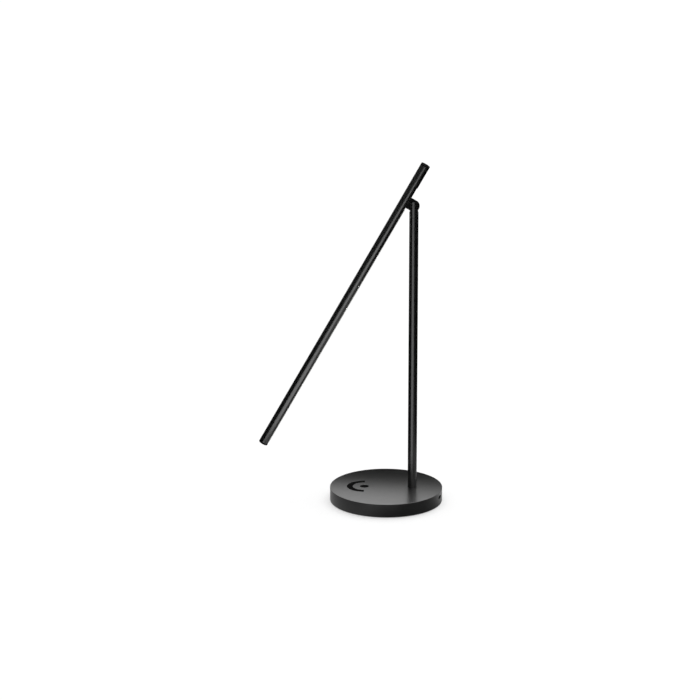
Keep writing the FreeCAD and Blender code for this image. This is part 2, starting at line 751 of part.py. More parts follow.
def inlet():
    back = "inlet_front - shell_depth"
    outside = obround("shell_outside", "shell_width", "shell_height", back, "inlet_front", "inlet_z")
    inner_width = "(shell_width - 2 * shell_wall)"
    inner_height = "(shell_height - 2 * shell_wall)"
    inside = obround("shell_inside", inner_width, inner_height,
                     back + " - clear_gap", "inlet_front + clear_gap", "inlet_z")
    node(on_inlet(cut("shell", outside, inside)), "inlet_shell")
    insert_end = back + " + insert_depth"
    plug = obround("insert", "(%s - 2 * fit_gap)" % inner_width, "(%s - 2 * fit_gap)" % inner_height,
                   back, insert_end, "inlet_z")
    tongue = box("tongue", (insert_end, insert_end + " + tongue_length"),
                 both_ways("tongue_width / 2"),
                 ("inlet_z - tongue_thick / 2", "inlet_z + tongue_thick / 2"))
    node(on_inlet(fuse("contact", plug, tongue)), "inlet_tongue")


def inlet_board():
    half = "inlet_board_width / 2"
    corner = "sqrt((inlet_board_front + clear_gap) ^ 2 - (%s) ^ 2) - clear_gap" % half
    panel = box("panel", ("inlet_board_back", corner), both_ways(half),
                ("inlet_board_under", "inlet_board_top"))
    holes = [cylinder("panel_hole", "board_screw_dia / 2 + hole_gap",
                      "inlet_board_thick + 2 * clear_gap", x, y, "inlet_board_under - clear_gap")
             for x, y in inlet_spots()]
    node(on_inlet(cut("panel_cut", panel, *holes)), "inlet_board")


def driver():
    def block(name, side, height, y):
        half = side + " / 2"
        return box(name, ("driver_x - " + half, "driver_x + " + half),
                   (y + " - " + half, y + " + " + half),
                   ("inlet_board_top", "inlet_board_top + " + height))

    coil = block("coil", "coil_side", "coil_height", "-driver_spacing")
    node(on_inlet(group("coil_place", coil)), "driver_coil")
    chip = block("converter", "driver_chip_side", "driver_chip_height", "driver_spacing")
    node(on_inlet(group("converter_place", chip)), "driver_chip")
    can = cylinder("can", "capacitor_dia / 2", "capacitor_height",
                   "capacitor_x", "0", "inlet_board_top")
    node(on_inlet(group("can_place", can)), "driver_capacitor")
    wire_end = "control_x + board_reach"
    length = "inlet_board_back - (%s)" % wire_end
    wire = cylinder("wire", "board_lead_dia / 2", length, wire_end,
                    "-driver_spacing", "wire_bed + board_lead_dia / 2", "X")
    node(on_inlet(group("wire_place", wire)), "board_lead")


# Post

def post_tube():
    part = new_body("tube")
    section = sketch_on(part, "XY_Plane", "post_foot")
    circle(section, "post_dia / 2")
    circle(section, "post_bore")
    pad(part, section, "post_top - post_foot")
    node(place(part, x="post_reach"), "post_tube")


def post_fastening():
    stud = new_body("stud")
    grip = "post_bore - fit_gap"
    revolve(stud,
            ("stud_bore / 2", "stud_end"), ("stud_dia / 2", "stud_end"), ("stud_dia / 2", "post_foot"),
            (grip, "post_foot"), (grip, "post_foot + stud_grip"),
            ("stud_bore / 2", "post_foot + stud_grip"))
    node(place(stud, x="post_reach"), "post_stud")
    washer = new_body("washer")
    ring = sketch_on(washer, "XY_Plane", "nut_top")
    circle(ring, "washer_dia / 2")
    circle(ring, "stud_dia / 2 + hole_gap")
    pad(washer, ring, "washer_thick")
    node(place(washer, x="post_reach"), "post_washer")
    blank = hexagon("nut_blank", "nut_width", "nut_height", z="nut_under")
    bore = cylinder("nut_bore", "stud_dia / 2 + fit_gap", "nut_height + 2 * clear_gap",
                    z="nut_under - clear_gap")
    node(place(cut("nut", blank, bore), x="post_reach"), "post_nut")


def post_fork():
    """Slotted head of the post: two ears, rounded about the hinge axis, and a spigot in the tube."""
    radius = "post_dia / 2"
    stem = cylinder("fork_stem", radius, "fork_drop", z="-fork_drop")
    dome = common("fork_dome", cylinder("fork_upper", radius, radius),
                  cylinder("fork_round", radius, "post_dia", y="-" + radius, along="Y"))
    spigot = cylinder("fork_spigot", "post_bore - fit_gap", "spigot_length",
                      z="-fork_drop - spigot_length")
    blank = fuse("fork_blank", stem, dome, spigot)
    reach = radius + " + clear_gap"
    slot = box("fork_slot", both_ways(reach), both_ways("slot_half"), ("-slot_floor", reach))
    bore = cylinder("fork_bore", "post_lead_dia / 2 + clear_gap",
                    "fork_drop + spigot_length + clear_gap", z="-fork_drop - spigot_length - clear_gap")
    thread = cylinder("fork_thread", "thread_dia / 2 + fit_gap", "thread_length + clear_gap + slot_half",
                      y="-slot_half - thread_length - clear_gap", along="Y")
    shank = cylinder("fork_shank", "pin_dia / 2 + fit_gap", radius, along="Y")
    head = cylinder("fork_head", "head_dia / 2 + hole_gap", radius, y="head_under", along="Y")
    fork = cut("fork", blank, slot, bore, thread, shank, head)
    node(place(fork, x="post_reach", z="pivot_height"), "post_fork")


def hinge_screw():
    """Shoulder screw through the rear ear and the lug, its thread blind in the front ear."""
    thread = cylinder("screw_thread", "thread_dia / 2", "thread_length",
                      y="-slot_half - thread_length", along="Y")
    shank = cylinder("screw_shank", "pin_dia / 2", "slot_half + head_under", y="-slot_half", along="Y")
    head = cylinder("screw_head", "head_dia / 2", "head_height", y="head_under", along="Y")
    socket = hexagon("screw_socket", "socket_width", "socket_depth + clear_gap",
                     y="head_under + head_height - socket_depth", along="Y")
    screw = cut("screw", fuse("screw_blank", thread, shank, head), socket)
    node(place(screw, x="post_reach", z="pivot_height"), "hinge_screw")
    rings = []
    for y in ("lug_thick / 2 + running_gap", "-slot_half"):
        disc = cylinder("friction_disc", "friction_dia / 2", "friction_thick", y=y, along="Y")
        hole = cylinder("friction_hole", "pin_dia / 2 + hole_gap", "friction_thick", y=y, along="Y")
        rings.append(cut("friction_ring", disc, hole))
    pair = group("friction_pair", *rings)
    node(place(pair, x="post_reach", z="pivot_height"), "friction_washers")


# Light bar, in the hinge's frame: X towards the post, Z up along the bar

def bar_tube():
    length = "tube_high - tube_low"
    round_bar = cylinder("bar_round", "bar_radius", length, x="bar_x", z="tube_low")
    wall = "bar_bore + bar_wall"
    hollows = cylinder("bar_hollow", "bar_bore", length, x="bar_x", z="tube_low")
    web = box("bar_web", ("web_back", "web_face"), both_ways(wall), ("tube_low", "tube_high"))
    slot = box("bar_slot_cut", ("bar_x", "bar_x + bar_dia"), both_ways("bar_slot / 2"),
               ("tube_low", "tube_high"))
    node(on_bar(cut("bar", round_bar, cut("bar_hollows", hollows, web), slot)), "bar_tube")


def lead_passage():
    """Hole from the lug's rim into the bar, and a groove from there down to the LED board."""
    bore = cylinder("lug_bore", "bar_lead_hole", "bar_offset + 2 * lug_radius",
                    x="bar_lead_x", z="-bar_lead_shift", along="X")
    groove = box("lug_groove", ("bar_lead_x - bar_lead_hole", "bar_lead_x + bar_lead_hole"),
                 both_ways("bar_lead_hole"), ("foot_low - clear_gap", "-bar_lead_shift + bar_lead_hole"))
    return fuse("lug_passage", bore, groove)


def bar_lug():
    """Tongue of the hinge on a foot that slides into the bar's slot."""
    half = "lug_thick / 2"
    eye = cylinder("lug_eye", "lug_radius", "lug_thick", y="-" + half, along="Y")
    neck = box("lug_neck", ("slot_land", "0"), both_ways(half), both_ways("lug_radius"))
    foot = box("lug_foot", ("web_face + fit_gap", "foot_shoulder"), both_ways("foot_half"),
               ("foot_low", "foot_high"))
    stem = box("lug_stem", ("foot_shoulder", "slot_land"), both_ways("strip_half"),
               ("foot_low", "foot_high"))
    pin = cylinder("lug_pin", "pin_dia / 2 + running_gap", "lug_thick + 2 * clear_gap",
                   y="-%s - clear_gap" % half, along="Y")
    holes = [cylinder("grub_hole", "grub_dia / 2 + fit_gap", "slot_land - web_face + clear_gap",
                      x="web_face", z=z, along="X") for z in ("grub_z", "grub_z + grub_pitch")]
    blank = fuse("lug_blank", eye, neck, foot, stem)
    node(on_bar(cut("lug", blank, pin, lead_passage(), *holes)), "bar_lug")


def lug_screws():
    screws = []
    length = "slot_land - grub_sink - web_face"
    for z in ("grub_z", "grub_z + grub_pitch"):
        body = cylinder("grub_body", "grub_dia / 2", length, x="web_face", z=z, along="X")
        socket = hexagon("grub_socket", "socket_width", "socket_depth + clear_gap",
                         x="slot_land - grub_sink - socket_depth", z=z, along="X")
        screws.append(cut("grub", body, socket))
    node(on_bar(group("grub_pair", *screws)), "lug_screws")


def slot_strip(name, low, high):
    """Channel-shaped strip that closes the bar's slot, flush with the bar's outside."""
    length = "(%s) - (%s)" % (high, low)
    crown = cylinder(name + "_crown", "bar_radius", length, x="bar_x", z=low)
    cheeks = box(name + "_cheeks", ("strip_under", "bar_x + bar_radius"), both_ways("strip_half"),
                 (low, high))
    lips = box(name + "_lips", ("strip_under", "strip_shoulder"), both_ways("strip_lip_half"),
               (low, high))
    channel = box(name + "_channel", ("strip_under - clear_gap", "bar_x + bar_radius - strip_skin"),
                  both_ways("strip_half - strip_leg"), (low, high))
    profile = fuse(name + "_profile", common(name + "_outside", crown, cheeks), lips)
    return on_bar(cut(name, profile, channel))


def slot_strips():
    node(slot_strip("light_strip", "tube_low", "foot_low - strip_gap"), "diffuser")
    node(slot_strip("blank_strip", "foot_high + strip_gap", "tube_high"), "slot_cover")


def led_strip():
    board = box("led_panel", ("web_face", "led_face"), both_ways("led_board_width / 2"),
                ("led_low", "led_high"))
    node(on_bar(group("led_panel_place", board)), "led_board")
    count = int(value("(led_high - led_low - 2 * led_margin) / led_pitch")) + 1
    chips = []
    for index in range(count):
        z = "led_low + led_margin + %d * led_pitch" % index
        chips.append(box("led", ("led_face", "led_face + led_height"), both_ways("led_width / 2"),
                         (z + " - led_length / 2", z + " + led_length / 2")))
    node(on_bar(group("led_row", *chips)), "led_chips")


def end_cap(name, label, end, turn):
    """Crowned cap on an end of the bar, with a plug in the hollow behind the web."""
    crown = new_body(name + "_crown")
    revolve(crown,
            ("0", "0"), ("bar_radius", "0"), ("bar_radius", "cap_thick - cap_crown - cap_edge"),
            ("bar_radius - cap_edge", "cap_thick - cap_crown"), ("0", "cap_thick"))
    crown.Placement = Placement(Vector(), Rotation(Vector(1, 0, 0), turn))
    place(crown, x="bar_x", z=end)
    low = end if turn else "(%s) - cap_plug" % end
    high = "(%s) + cap_plug" % end if turn else end
    fill = cylinder(name + "_fill", "bar_bore - fit_gap", "cap_plug", x="bar_x", z=low)
    behind = box(name + "_behind", ("bar_x - bar_radius", "web_back - fit_gap"),
                 both_ways("bar_radius"), (low, high))
    plug = common(name + "_plug", fill, behind)
    node(on_bar(fuse(name, crown, plug)), label)


# Leads

def bend(name, radius, reach, x, z, start):
    """Quarter of a ring in the XZ plane, from the angle start below +X on towards -Z and -X."""
    obj = bind(doc.addObject("Part::Torus", name), Radius1=reach, Radius2=radius)
    obj.Angle3 = 90
    obj.Placement = Placement(Vector(), LYING["Y"] * Rotation(UP, start))
    return place(obj, x, "0", z)


def post_lead():
    """From the control board down, along the base plate and up the post."""
    radius = "post_lead_dia / 2"
    reach = "post_lead_bend"
    down = cylinder("wire_down", radius, "board_under - lead_bend_z", "lead_end", "0", "lead_bend_z")
    first = bend("wire_first", radius, reach, "lead_end + " + reach, "lead_bend_z", 90)
    run = cylinder("wire_run", radius, "post_reach - lead_end - 2 * " + reach,
                   "lead_end + " + reach, "0", "lead_run", "X")
    second = bend("wire_second", radius, reach, "post_reach - " + reach, "lead_bend_z", 0)
    up = cylinder("wire_up", radius, "pivot_height - slot_floor - lead_bend_z",
                  "post_reach", "0", "lead_bend_z")
    node(fuse("post_wire", down, first, run, second, up), "post_lead")


def bar_lead():
    """From the lug's rim into the bar and down to the LED board."""
    radius = "bar_lead_dia / 2"
    rim = "sqrt(lug_radius ^ 2 - bar_lead_shift ^ 2) - clear_gap"
    inward = cylinder("tail_inward", radius, rim + " - bar_bend_x",
                      "bar_bend_x", "0", "-bar_lead_shift", "X")
    turn = bend("tail_turn", radius, "bar_lead_bend", "bar_bend_x", "bar_bend_z", 180)
    end = "led_high - bar_lead_tail"
    down = cylinder("tail_down", radius, "bar_bend_z - (%s)" % end, "bar_lead_x", "0", end)
    node(on_bar(fuse("bar_wire", inward, turn, down)), "bar_lead")


# Check and write

def check():
    for obj in doc.Objects:
        if "Invalid" in obj.State or "Error" in obj.State:
            raise RuntimeError("%s failed: %s" % (obj.Label, obj.State))
    for obj in nodes:
        if obj.Shape.isNull() or not obj.Shape.isValid() or not obj.Shape.Solids:
            raise RuntimeError("%s has no valid solid" % obj.Label)


def write():
    os.makedirs("parts", exist_ok=True)
    for obj in nodes:
        obj.Shape.exportStep("parts/%s.step" % obj.Label)
        print("%-18s %2d solids, %10.1f mm3" % (obj.Label, len(obj.Shape.Solids), obj.Shape.Volume))


fill_sheets()
base_cover()
base_plate()
foot_pad()
base_screws()
ballast_plate()
dimmer_arc()
power_key()
tact_switch()
control_board()
touch_pads()
board_screws()
inlet()
inlet_board()
driver()
post_tube()
post_fastening()
post_fork()
hinge_screw()
bar_tube()
bar_lug()
lug_screws()
slot_strips()
led_strip()
end_cap("tip", "tip_cap", "tube_low", 180)
end_cap("tail", "tail_cap", "tube_high", 0)
post_lead()
bar_lead()
doc.recompute()
check()
write()
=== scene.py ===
"""A desk lamp: a round base, an upright post and a slim light bar that tilts."""

import json
import math

import bmesh
import bpy
from mathutils import Matrix, Vector


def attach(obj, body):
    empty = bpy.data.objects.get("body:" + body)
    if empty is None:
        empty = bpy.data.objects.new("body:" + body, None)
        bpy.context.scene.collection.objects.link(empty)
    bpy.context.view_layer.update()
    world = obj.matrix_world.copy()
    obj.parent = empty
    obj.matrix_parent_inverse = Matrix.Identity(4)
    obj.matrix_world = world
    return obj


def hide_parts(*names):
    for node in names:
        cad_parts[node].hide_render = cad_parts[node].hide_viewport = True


bl_info = {
    "name": "Desk lamp with a tilting light bar",
    "version": (1, 0, 0),
    "blender": (4, 5, 0),
    "location": "View3D > Sidebar > Desk lamp",
    "description": "Builds the looks of the desk lamp around its solids",
    "category": "Object",
}

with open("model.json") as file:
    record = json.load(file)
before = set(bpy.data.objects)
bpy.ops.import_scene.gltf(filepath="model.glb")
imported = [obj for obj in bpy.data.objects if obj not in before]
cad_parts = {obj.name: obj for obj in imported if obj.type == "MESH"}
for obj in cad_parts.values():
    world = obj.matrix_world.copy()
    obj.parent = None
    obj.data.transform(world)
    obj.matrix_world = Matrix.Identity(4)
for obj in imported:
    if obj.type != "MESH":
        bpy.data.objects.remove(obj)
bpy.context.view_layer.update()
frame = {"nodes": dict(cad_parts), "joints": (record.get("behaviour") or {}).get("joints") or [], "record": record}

# Where the solids are: in the hinge's own frame the bar stands upright along Z
LEVEL = Matrix.Identity(4)
TILT = next(row for row in frame["joints"] if row["name"] == "bar_tilt")
PIVOT = Vector(TILT["pos_m"])
HINGE = Matrix.Translation(PIVOT) @ Matrix.Rotation(-math.radians(TILT["range_deg"][0]), 4, "Y")
SLOTS = {row["node"]: row["material_slot"] for row in frame["record"]["subparts"]}
BODIES = {
    node: body for body, nodes in frame["record"]["behaviour"]["bodies"].items() for node in nodes
}


def own_box(node, turn=LEVEL):
    """Lowest and highest corner of a solid, seen in the frame that turn gives."""
    back = turn.inverted()
    spots = [back @ vertex.co for vertex in frame["nodes"][node].data.vertices]
    low = Vector([min(spot[axis] for spot in spots) for axis in range(3)])
    high = Vector([max(spot[axis] for spot in spots) for axis in range(3)])
    return low, high


COVER_LOW, COVER_HIGH = own_box("base_cover")
PLATE_LOW, PLATE_HIGH = own_box("base_plate")
PAD_LOW, PAD_HIGH = own_box("foot_pad")
ARC_LOW, ARC_HIGH = own_box("dimmer_arc")
KEY_LOW, KEY_HIGH = own_box("power_key")
POST_LOW, POST_HIGH = own_box("post_tube")
TUBE_LOW, TUBE_HIGH = own_box("bar_tube", HINGE)
TUBE_RADIUS = TUBE_HIGH.y
BAR = HINGE @ Matrix.Translation((TUBE_LOW.x + TUBE_RADIUS, 0.0, 0.0))
POST_X = (POST_LOW.x + POST_HIGH.x) / 2
CONTROL_X = (KEY_LOW.x + KEY_HIGH.x) / 2
INLET_SPOT = sum(own_box("inlet_shell"), Vector()) / 2
INLET_TURN = math.atan2(INLET_SPOT.y, INLET_SPOT.x)
INLET = Matrix.Rotation(INLET_TURN, 4, "Z") @ Matrix.Translation((0.0, 0.0, INLET_SPOT.z))

# How the meshes are made
COLUMNS = 240
INLET_COLUMNS = 4
COLUMN_SLACK = 0.1
RING_STEPS = 96
HOLE_STEPS = 64
INLET_STEPS = 24
INLET_CUTS = 4
GROOVE_STEPS = 16
HOLLOW_STEPS = 32
STRIP_STEPS = 12
NEAR = 1e-6
MERGE = 1e-7
FLAT = math.radians(0.5)
CORNER = math.radians(30)
SHARP = math.radians(32)
FULL_TURN = 2 * math.pi

# Proportions of small forms
WINDOW_SHARE = 0.8  # half the window cut for the inlet, by the inlet's height
DISH_SHARE = 0.45  # flat of the key's hollow, by the key's radius
FLANGE_SHARE = 0.9  # height of the key's flange, by the room under the roof
DOME_SHARE = 0.5  # where a cap's dome bends, by the radius of its face
DOME_DROP = 0.25  # how far the dome has dropped there, by its crown

# Noise in the finishes: its range, the broad patterns by the size of the fine ones, and marks in metal
PATTERN_LOW = 0.3
PATTERN_HIGH = 0.7
COAT_SPREAD = 14.0
MOULD_SPREAD = 9.0
METAL_SPREAD = 20.0
METAL_RELIEF = 0.00001

# Sizes and turns of the stage
FLOOR_REACH = 20.0
FLOOR_DROP = 0.0002
CARD_LIFT = 0.0004
CARD_SLANT = math.radians(-38.0)
SCREEN_ROLL = math.radians(-3.5)
MAT_INSIDE = 0.07
MAT_OUTSIDE = 0.15
MAT_LIFT = 0.0007
VIEW_REACH = 100.0


def length(name, description, default):
    """A size that a user may change."""
    return bpy.props.FloatProperty(
        name=name, description=description, default=default, min=0.0, precision=6, unit="LENGTH")


def tone(name, description, default):
    """A colour that a user may change."""
    return bpy.props.FloatVectorProperty(
        name=name, description=description, default=default, size=3, min=0.0, max=1.0, subtype="COLOR")


def number(name, description, default):
    """A plain number from 0 up that a user may change."""
    return bpy.props.FloatProperty(name=name, description=description, default=default, min=0.0)


def share(name, description, default):
    """A number from 0 to 1 that a user may change."""
    return bpy.props.FloatProperty(
        name=name, description=description, default=default, min=0.0, max=1.0, subtype="FACTOR")


def optics(name, description, default):
    """A size inside the camera, in millimetres, that a user may change."""
    return bpy.props.FloatProperty(
        name=name, description=description, default=default, min=1.0, unit="CAMERA")


def turn_of(name, description, degrees):
    """An angle that a user may change."""
    return bpy.props.FloatProperty(
        name=name, description=description, default=math.radians(degrees), subtype="ANGLE")


class DeskLampSizes(bpy.types.PropertyGroup):
    """Sizes that the boxes of the solids don't give"""

    cover_rim: length("Cover rim", "Round on the base's upper edge", 0.0004)
    cover_foot: length("Cover foot", "Round on the base's lower edge", 0.0003)
    cover_wall: length("Cover wall", "Thickness of the base's side wall", 0.0024)
    cover_roof: length("Cover roof", "Thickness of the base's top", 0.0020)
    edge_band: length("Edge band", "Flat band kept beside each rounded edge", 0.0005)
    opening_lip: length("Opening lip", "Round on the edges of the openings in the base's top", 0.00018)
    arc_width: length("Dimmer width", "Width of the dimmer's half ring", 0.0077)
    arc_lip: length("Dimmer lip", "Lip under the roof that holds the half ring", 0.0015)
    arc_heel: length("Dimmer heel", "Lip under the roof on the half ring's inner side", 0.0002)
    fit_gap: length("Fit gap", "Gap round the half ring and the key", 0.0003)
    key_flange: length("Key flange", "Flange that keeps the key in", 0.0014)
    key_dish: length("Key dish", "Depth of the hollow in the key's face", 0.00035)
    key_dish_edge: length("Key dish edge", "Round where the flat of the key's hollow ends", 0.0010)
    key_edge: length("Key edge", "Round on the key's upper edge", 0.0003)
    seat_depth: length("Post seat", "How far the post stands into the base", 0.0010)
    stud_hole: length("Stud hole", "Radius of the hole under the post", 0.0041)
    inlet_width: length("Inlet width", "Width of the inlet opening", 0.0104)
    inlet_height: length("Inlet height", "Height of the inlet opening", 0.0044)
    inlet_lip: length("Inlet lip", "Round on the edge of the inlet opening", 0.000288)
    shell_edge: length("Shell edge", "Round on the edges of the inlet's shell", 0.00008)
    tongue_edge: length("Tongue edge", "Round on the edges of the inlet's tongue", 0.00012)
    pad_round: length("Pad round", "Round on the foot pad's lower edge", 0.0004)
    pad_band: length("Pad band", "Flat band kept beside the foot pad's round", 0.0020)
    pad_gap: length("Pad gap", "Gap round the foot pad in its recess", 0.0001)
    post_bore: length("Post bore", "Radius of the hole along the post", 0.0045)
    post_edge: length("Post edge", "Round on the post's upper edge", 0.0000733333)
    small_round: length("Small round", "Round on the edges of the plate, the hinge and the slot", 0.00022)
    screw_edge: length("Screw edge", "Round on the edges of the hinge's screw", 0.00015)
    washer_edge: length("Washer edge", "Round on the edges of the friction washers", 0.00008)
    grub_edge: length("Grub edge", "Round on the edges of the grub screws", 0.00010)
    bar_wall: length("Bar wall", "Wall of the bar's tube", 0.0013)
    bar_slot: length("Bar slot", "Width of the slot along the bar", 0.0064)
    strip_gap: length("Strip gap", "Gap beside the strips in the slot", 0.00003)
    strip_skin: length("Strip skin", "Thickness of the strips in the slot", 0.0013)
    web_face: length("Web face", "Depth of the web's face behind the bar's axis", 0.0010)
    web_thick: length("Web thickness", "Thickness of the web in the bar", 0.0012)
    cap_crown: length("Cap crown", "Swell of the bar's end caps", 0.0003)
    cap_edge: length("Cap edge", "Round on the bar's end caps", 0.0005)
    cap_band: length("Cap band", "Straight band kept beside the round of the caps", 0.0006)
    cap_dome: length("Cap dome", "Round where the dome of the caps bends", 0.0016)


class DeskLampFinish(bpy.types.PropertyGroup):
    """Colours and gloss of the main finishes"""

    coat: tone("Coat", "Satin black coat of the base, post and bar", (0.004, 0.004, 0.004))
    coat_rough: share("Coat roughness", "Roughness of the coat on the post and bar", 0.24)
    base_rough: share("Base roughness", "Roughness of the coat on the base", 0.30)
    post_index: number("Post index", "Index of refraction of the post's coat", 1.58)
    bar_index: number("Bar index", "Index of refraction of the bar's coat", 1.76)
    base_index: number("Base index", "Index of refraction of the base's lacquer", 1.5)
    dull_rough: share("Dull roughness", "Roughness of the dull coat on the lug and the bar's ends", 0.45)
    dull_index: number("Dull index", "Index of refraction of the dull coat", 1.12)
    grain_size: length("Grain size", "Size of the grain in the coat", 0.0006)
    coat_relief: length("Coat relief", "Height of the grain in the coat", 0.00002)
    bar_relief: length("Bar relief", "Height of the grain in the bar's coat", 0.00004)
    mould_grain: length("Mould grain", "Size of the grain in moulded parts", 0.0007)
    mould_relief: length("Mould relief", "Height of the grain in moulded parts", 0.00003)
    mark: tone("Control", "Black of the half ring and the key", (0.006, 0.006, 0.006))
    opal: tone("Opal", "Milky strip over the lights", (0.86, 0.86, 0.83))
    steel: tone("Steel", "Plated screws, washers and nuts", (0.52, 0.52, 0.53))
    board: tone("Board", "Lacquer of the circuit boards", (0.012, 0.055, 0.026))


class DeskLampStage(bpy.types.PropertyGroup):
    """Camera, floor and light"""

    camera_turn: turn_of("Camera turn", "How far the camera stands to the right", 2.222)
    camera_lift: turn_of("Camera lift", "How far the camera looks down", 15.846)
    camera_way: length("Camera distance", "From the camera to the point it looks at", 3.5)
    camera_lens: optics("Lens", "Focal length", 136.50)
    camera_sensor: optics("Sensor", "Width of the camera's sensor", 36.0)
    aim_left: length("Aim to the left", "How far left of the base's middle the camera aims", 0.04829)
    aim_height: length("Aim height", "Height of the point that the camera aims at", 0.208214)
    sky: number("Sky", "Strength of the even light from all round", 0.45)
    lamp: number("Studio lamp", "Strength of the broad lamp overhead", 1.7)
    lamp_spread: turn_of("Lamp spread", "How broad the studio lamp is", 70.0)
    lamp_front: turn_of("Lamp to the front", "How far the lamp stands to the front, below 0 behind", -12.0)
    lamp_right: turn_of("Lamp to the right", "How far the lamp stands to the right", 4.0)
    floor_glow: number("Floor glow", "White added to the floor where it is seen", 0.45)
    floor_tone: share("Floor tone", "Paleness of the floor where it is seen", 0.60)
    floor_bounce: share("Floor bounce", "Paleness of the floor where it only sends light on", 0.8)


# Shaping


def spun(bm, profile, centre=(0.0, 0.0), steps=RING_STEPS, start=0.0, closed=False):
    """Turn a profile of (radius, height) points right round an upright line through centre."""
    across = Vector((math.cos(start), math.sin(start), 0.0))
    middle = Vector((centre[0], centre[1], 0.0))
    verts = [bm.verts.new(middle + across * radius + Vector((0.0, 0.0, z))) for radius, z in profile]
    edges = [bm.edges.new(pair) for pair in zip(verts, verts[1:])]
    if closed:
        edges.append(bm.edges.new((verts[-1], verts[0])))
    bmesh.ops.spin(bm, geom=verts + edges, cent=middle, axis=(0.0, 0.0, 1.0), angle=FULL_TURN,
                   steps=steps, use_merge=True)
    bmesh.ops.remove_doubles(bm, verts=bm.verts, dist=MERGE)


def rounded(bm, edges, offset, segments):
    """Round edges over."""
    bmesh.ops.recalc_face_normals(bm, faces=bm.faces)
    bmesh.ops.bevel(bm, geom=edges, offset=offset, offset_type="OFFSET", segments=segments, profile=0.5,
                    affect="EDGES", clamp_overlap=True, material=-1)


def ring_edges(bm, radius, z, centre=(0.0, 0.0)):
    """The edges of one circle that spun made."""
    middle = Vector(centre)

    def on_ring(vert):
        return abs((vert.co.xy - middle).length - radius) < NEAR and abs(vert.co.z - z) < NEAR

    return [edge for edge in bm.edges if all(on_ring(vert) for vert in edge.verts)]


def sharp_edges(bm):
    """Edges whose two faces meet at a corner."""
    return [edge for edge in bm.edges if edge.is_manifold and edge.calc_face_angle() > CORNER]


def fill_level(bm, z):
    """Close the flat face at one height, leaving its openings open."""
    edges = [edge for edge in bm.edges
             if edge.is_boundary and all(abs(vert.co.z - z) < NEAR for vert in edge.verts)]
    bmesh.ops.triangle_fill(bm, use_beauty=True, use_dissolve=False, edges=edges)


def arc_line(bm, radius, start, end, steps):
    """Points along an arc about the upright axis, from one angle to another."""
    first = bm.verts.new((radius * math.cos(start), radius * math.sin(start), 0.0))
    before = set(bm.verts)
    bmesh.ops.spin(bm, geom=[first], cent=(0.0, 0.0, 0.0), axis=(0.0, 0.0, 1.0), angle=end - start,
                   steps=steps)
    return [first] + [vert for vert in bm.verts if vert not in before]


def drawn_out(bm, faces, low, high):
    """Draw a flat section at height 0 out into a bar from low to high."""
    bmesh.ops.translate(bm, vec=(0.0, 0.0, low), verts=bm.verts)
    grown = bmesh.ops.extrude_face_region(bm, geom=faces)["geom"]
    tops = [item for item in grown if isinstance(item, bmesh.types.BMVert)]
    bmesh.ops.translate(bm, vec=(0.0, 0.0, high - low), verts=tops)


def solid_copy(node, offset, segments=2):
    """A merged copy of a solid with its corners rounded over."""
    bm = bmesh.new()
    bm.from_mesh(frame["nodes"][node].data)
    bmesh.ops.remove_doubles(bm, verts=bm.verts, dist=NEAR)
    bmesh.ops.dissolve_limit(bm, angle_limit=FLAT, use_dissolve_boundaries=False, verts=bm.verts,
                             edges=bm.edges)
    rounded(bm, sharp_edges(bm), offset, segments)
    return bm


def new_object(bm, name, material):
    """Put a mesh into the scene as an object at the origin."""
    mesh = bpy.data.meshes.new(name)
    bm.to_mesh(mesh)
    bm.free()
    mesh.materials.append(material)
    made = bpy.data.objects.new(name, mesh)
    bpy.context.scene.collection.objects.link(made)
    return made


def make_piece(bm, name, node, turn=LEVEL, dull=False):
    """Close a mesh up as a finished piece that stands for a solid."""
    bmesh.ops.remove_doubles(bm, verts=bm.verts, dist=MERGE)
    bmesh.ops.dissolve_degenerate(bm, dist=MERGE, edges=bm.edges)
    bmesh.ops.recalc_face_normals(bm, faces=bm.faces)
    gaps = sum(not edge.is_manifold for edge in bm.edges)
    if gaps:
        raise RuntimeError(f"{name} has {gaps} open edges")
    bmesh.ops.transform(bm, matrix=turn, verts=bm.verts)
    for face in bm.faces:
        face.smooth = True
    piece = new_object(bm, name, finish(SLOTS[node], dull))
    piece.data.set_sharp_from_angle(angle=SHARP)
    even = piece.modifiers.new("even_shading", "WEIGHTED_NORMAL")
    even.keep_sharp = True
    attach(piece, BODIES[node])
    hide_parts(node)


# Finishes


def grey(level):
    """A grey with its alpha."""
    return (level, level, level, 1.0)


def bare_tree(name):
    """A new material with nothing in it but its output."""
    material = bpy.data.materials.new(name)
    material.use_nodes = True
    tree = material.node_tree
    tree.nodes.clear()
    return material, tree, tree.nodes.new("ShaderNodeOutputMaterial")


def shader_tree(name):
    """A new material with one shader in it."""
    material, tree, output = bare_tree(name)
    shader = tree.nodes.new("ShaderNodeBsdfPrincipled")
    tree.links.new(shader.outputs["BSDF"], output.inputs["Surface"])
    return material, tree, shader


def grain(tree, size, detail=3.0, stretch=(1.0, 1.0, 1.0)):
    """A grain of one size over a piece, drawn out along an axis where stretch is small."""
    place = tree.nodes.new("ShaderNodeTexCoord")
    mapping = tree.nodes.new("ShaderNodeMapping")
    mapping.inputs["Scale"].default_value = stretch
    noise = tree.nodes.new("ShaderNodeTexNoise")
    noise.inputs["Scale"].default_value = 1.0 / size
    noise.inputs["Detail"].default_value = detail
    tree.links.new(place.outputs["Object"], mapping.inputs["Vector"])
    tree.links.new(mapping.outputs["Vector"], noise.inputs["Vector"])
    return noise.outputs["Fac"]


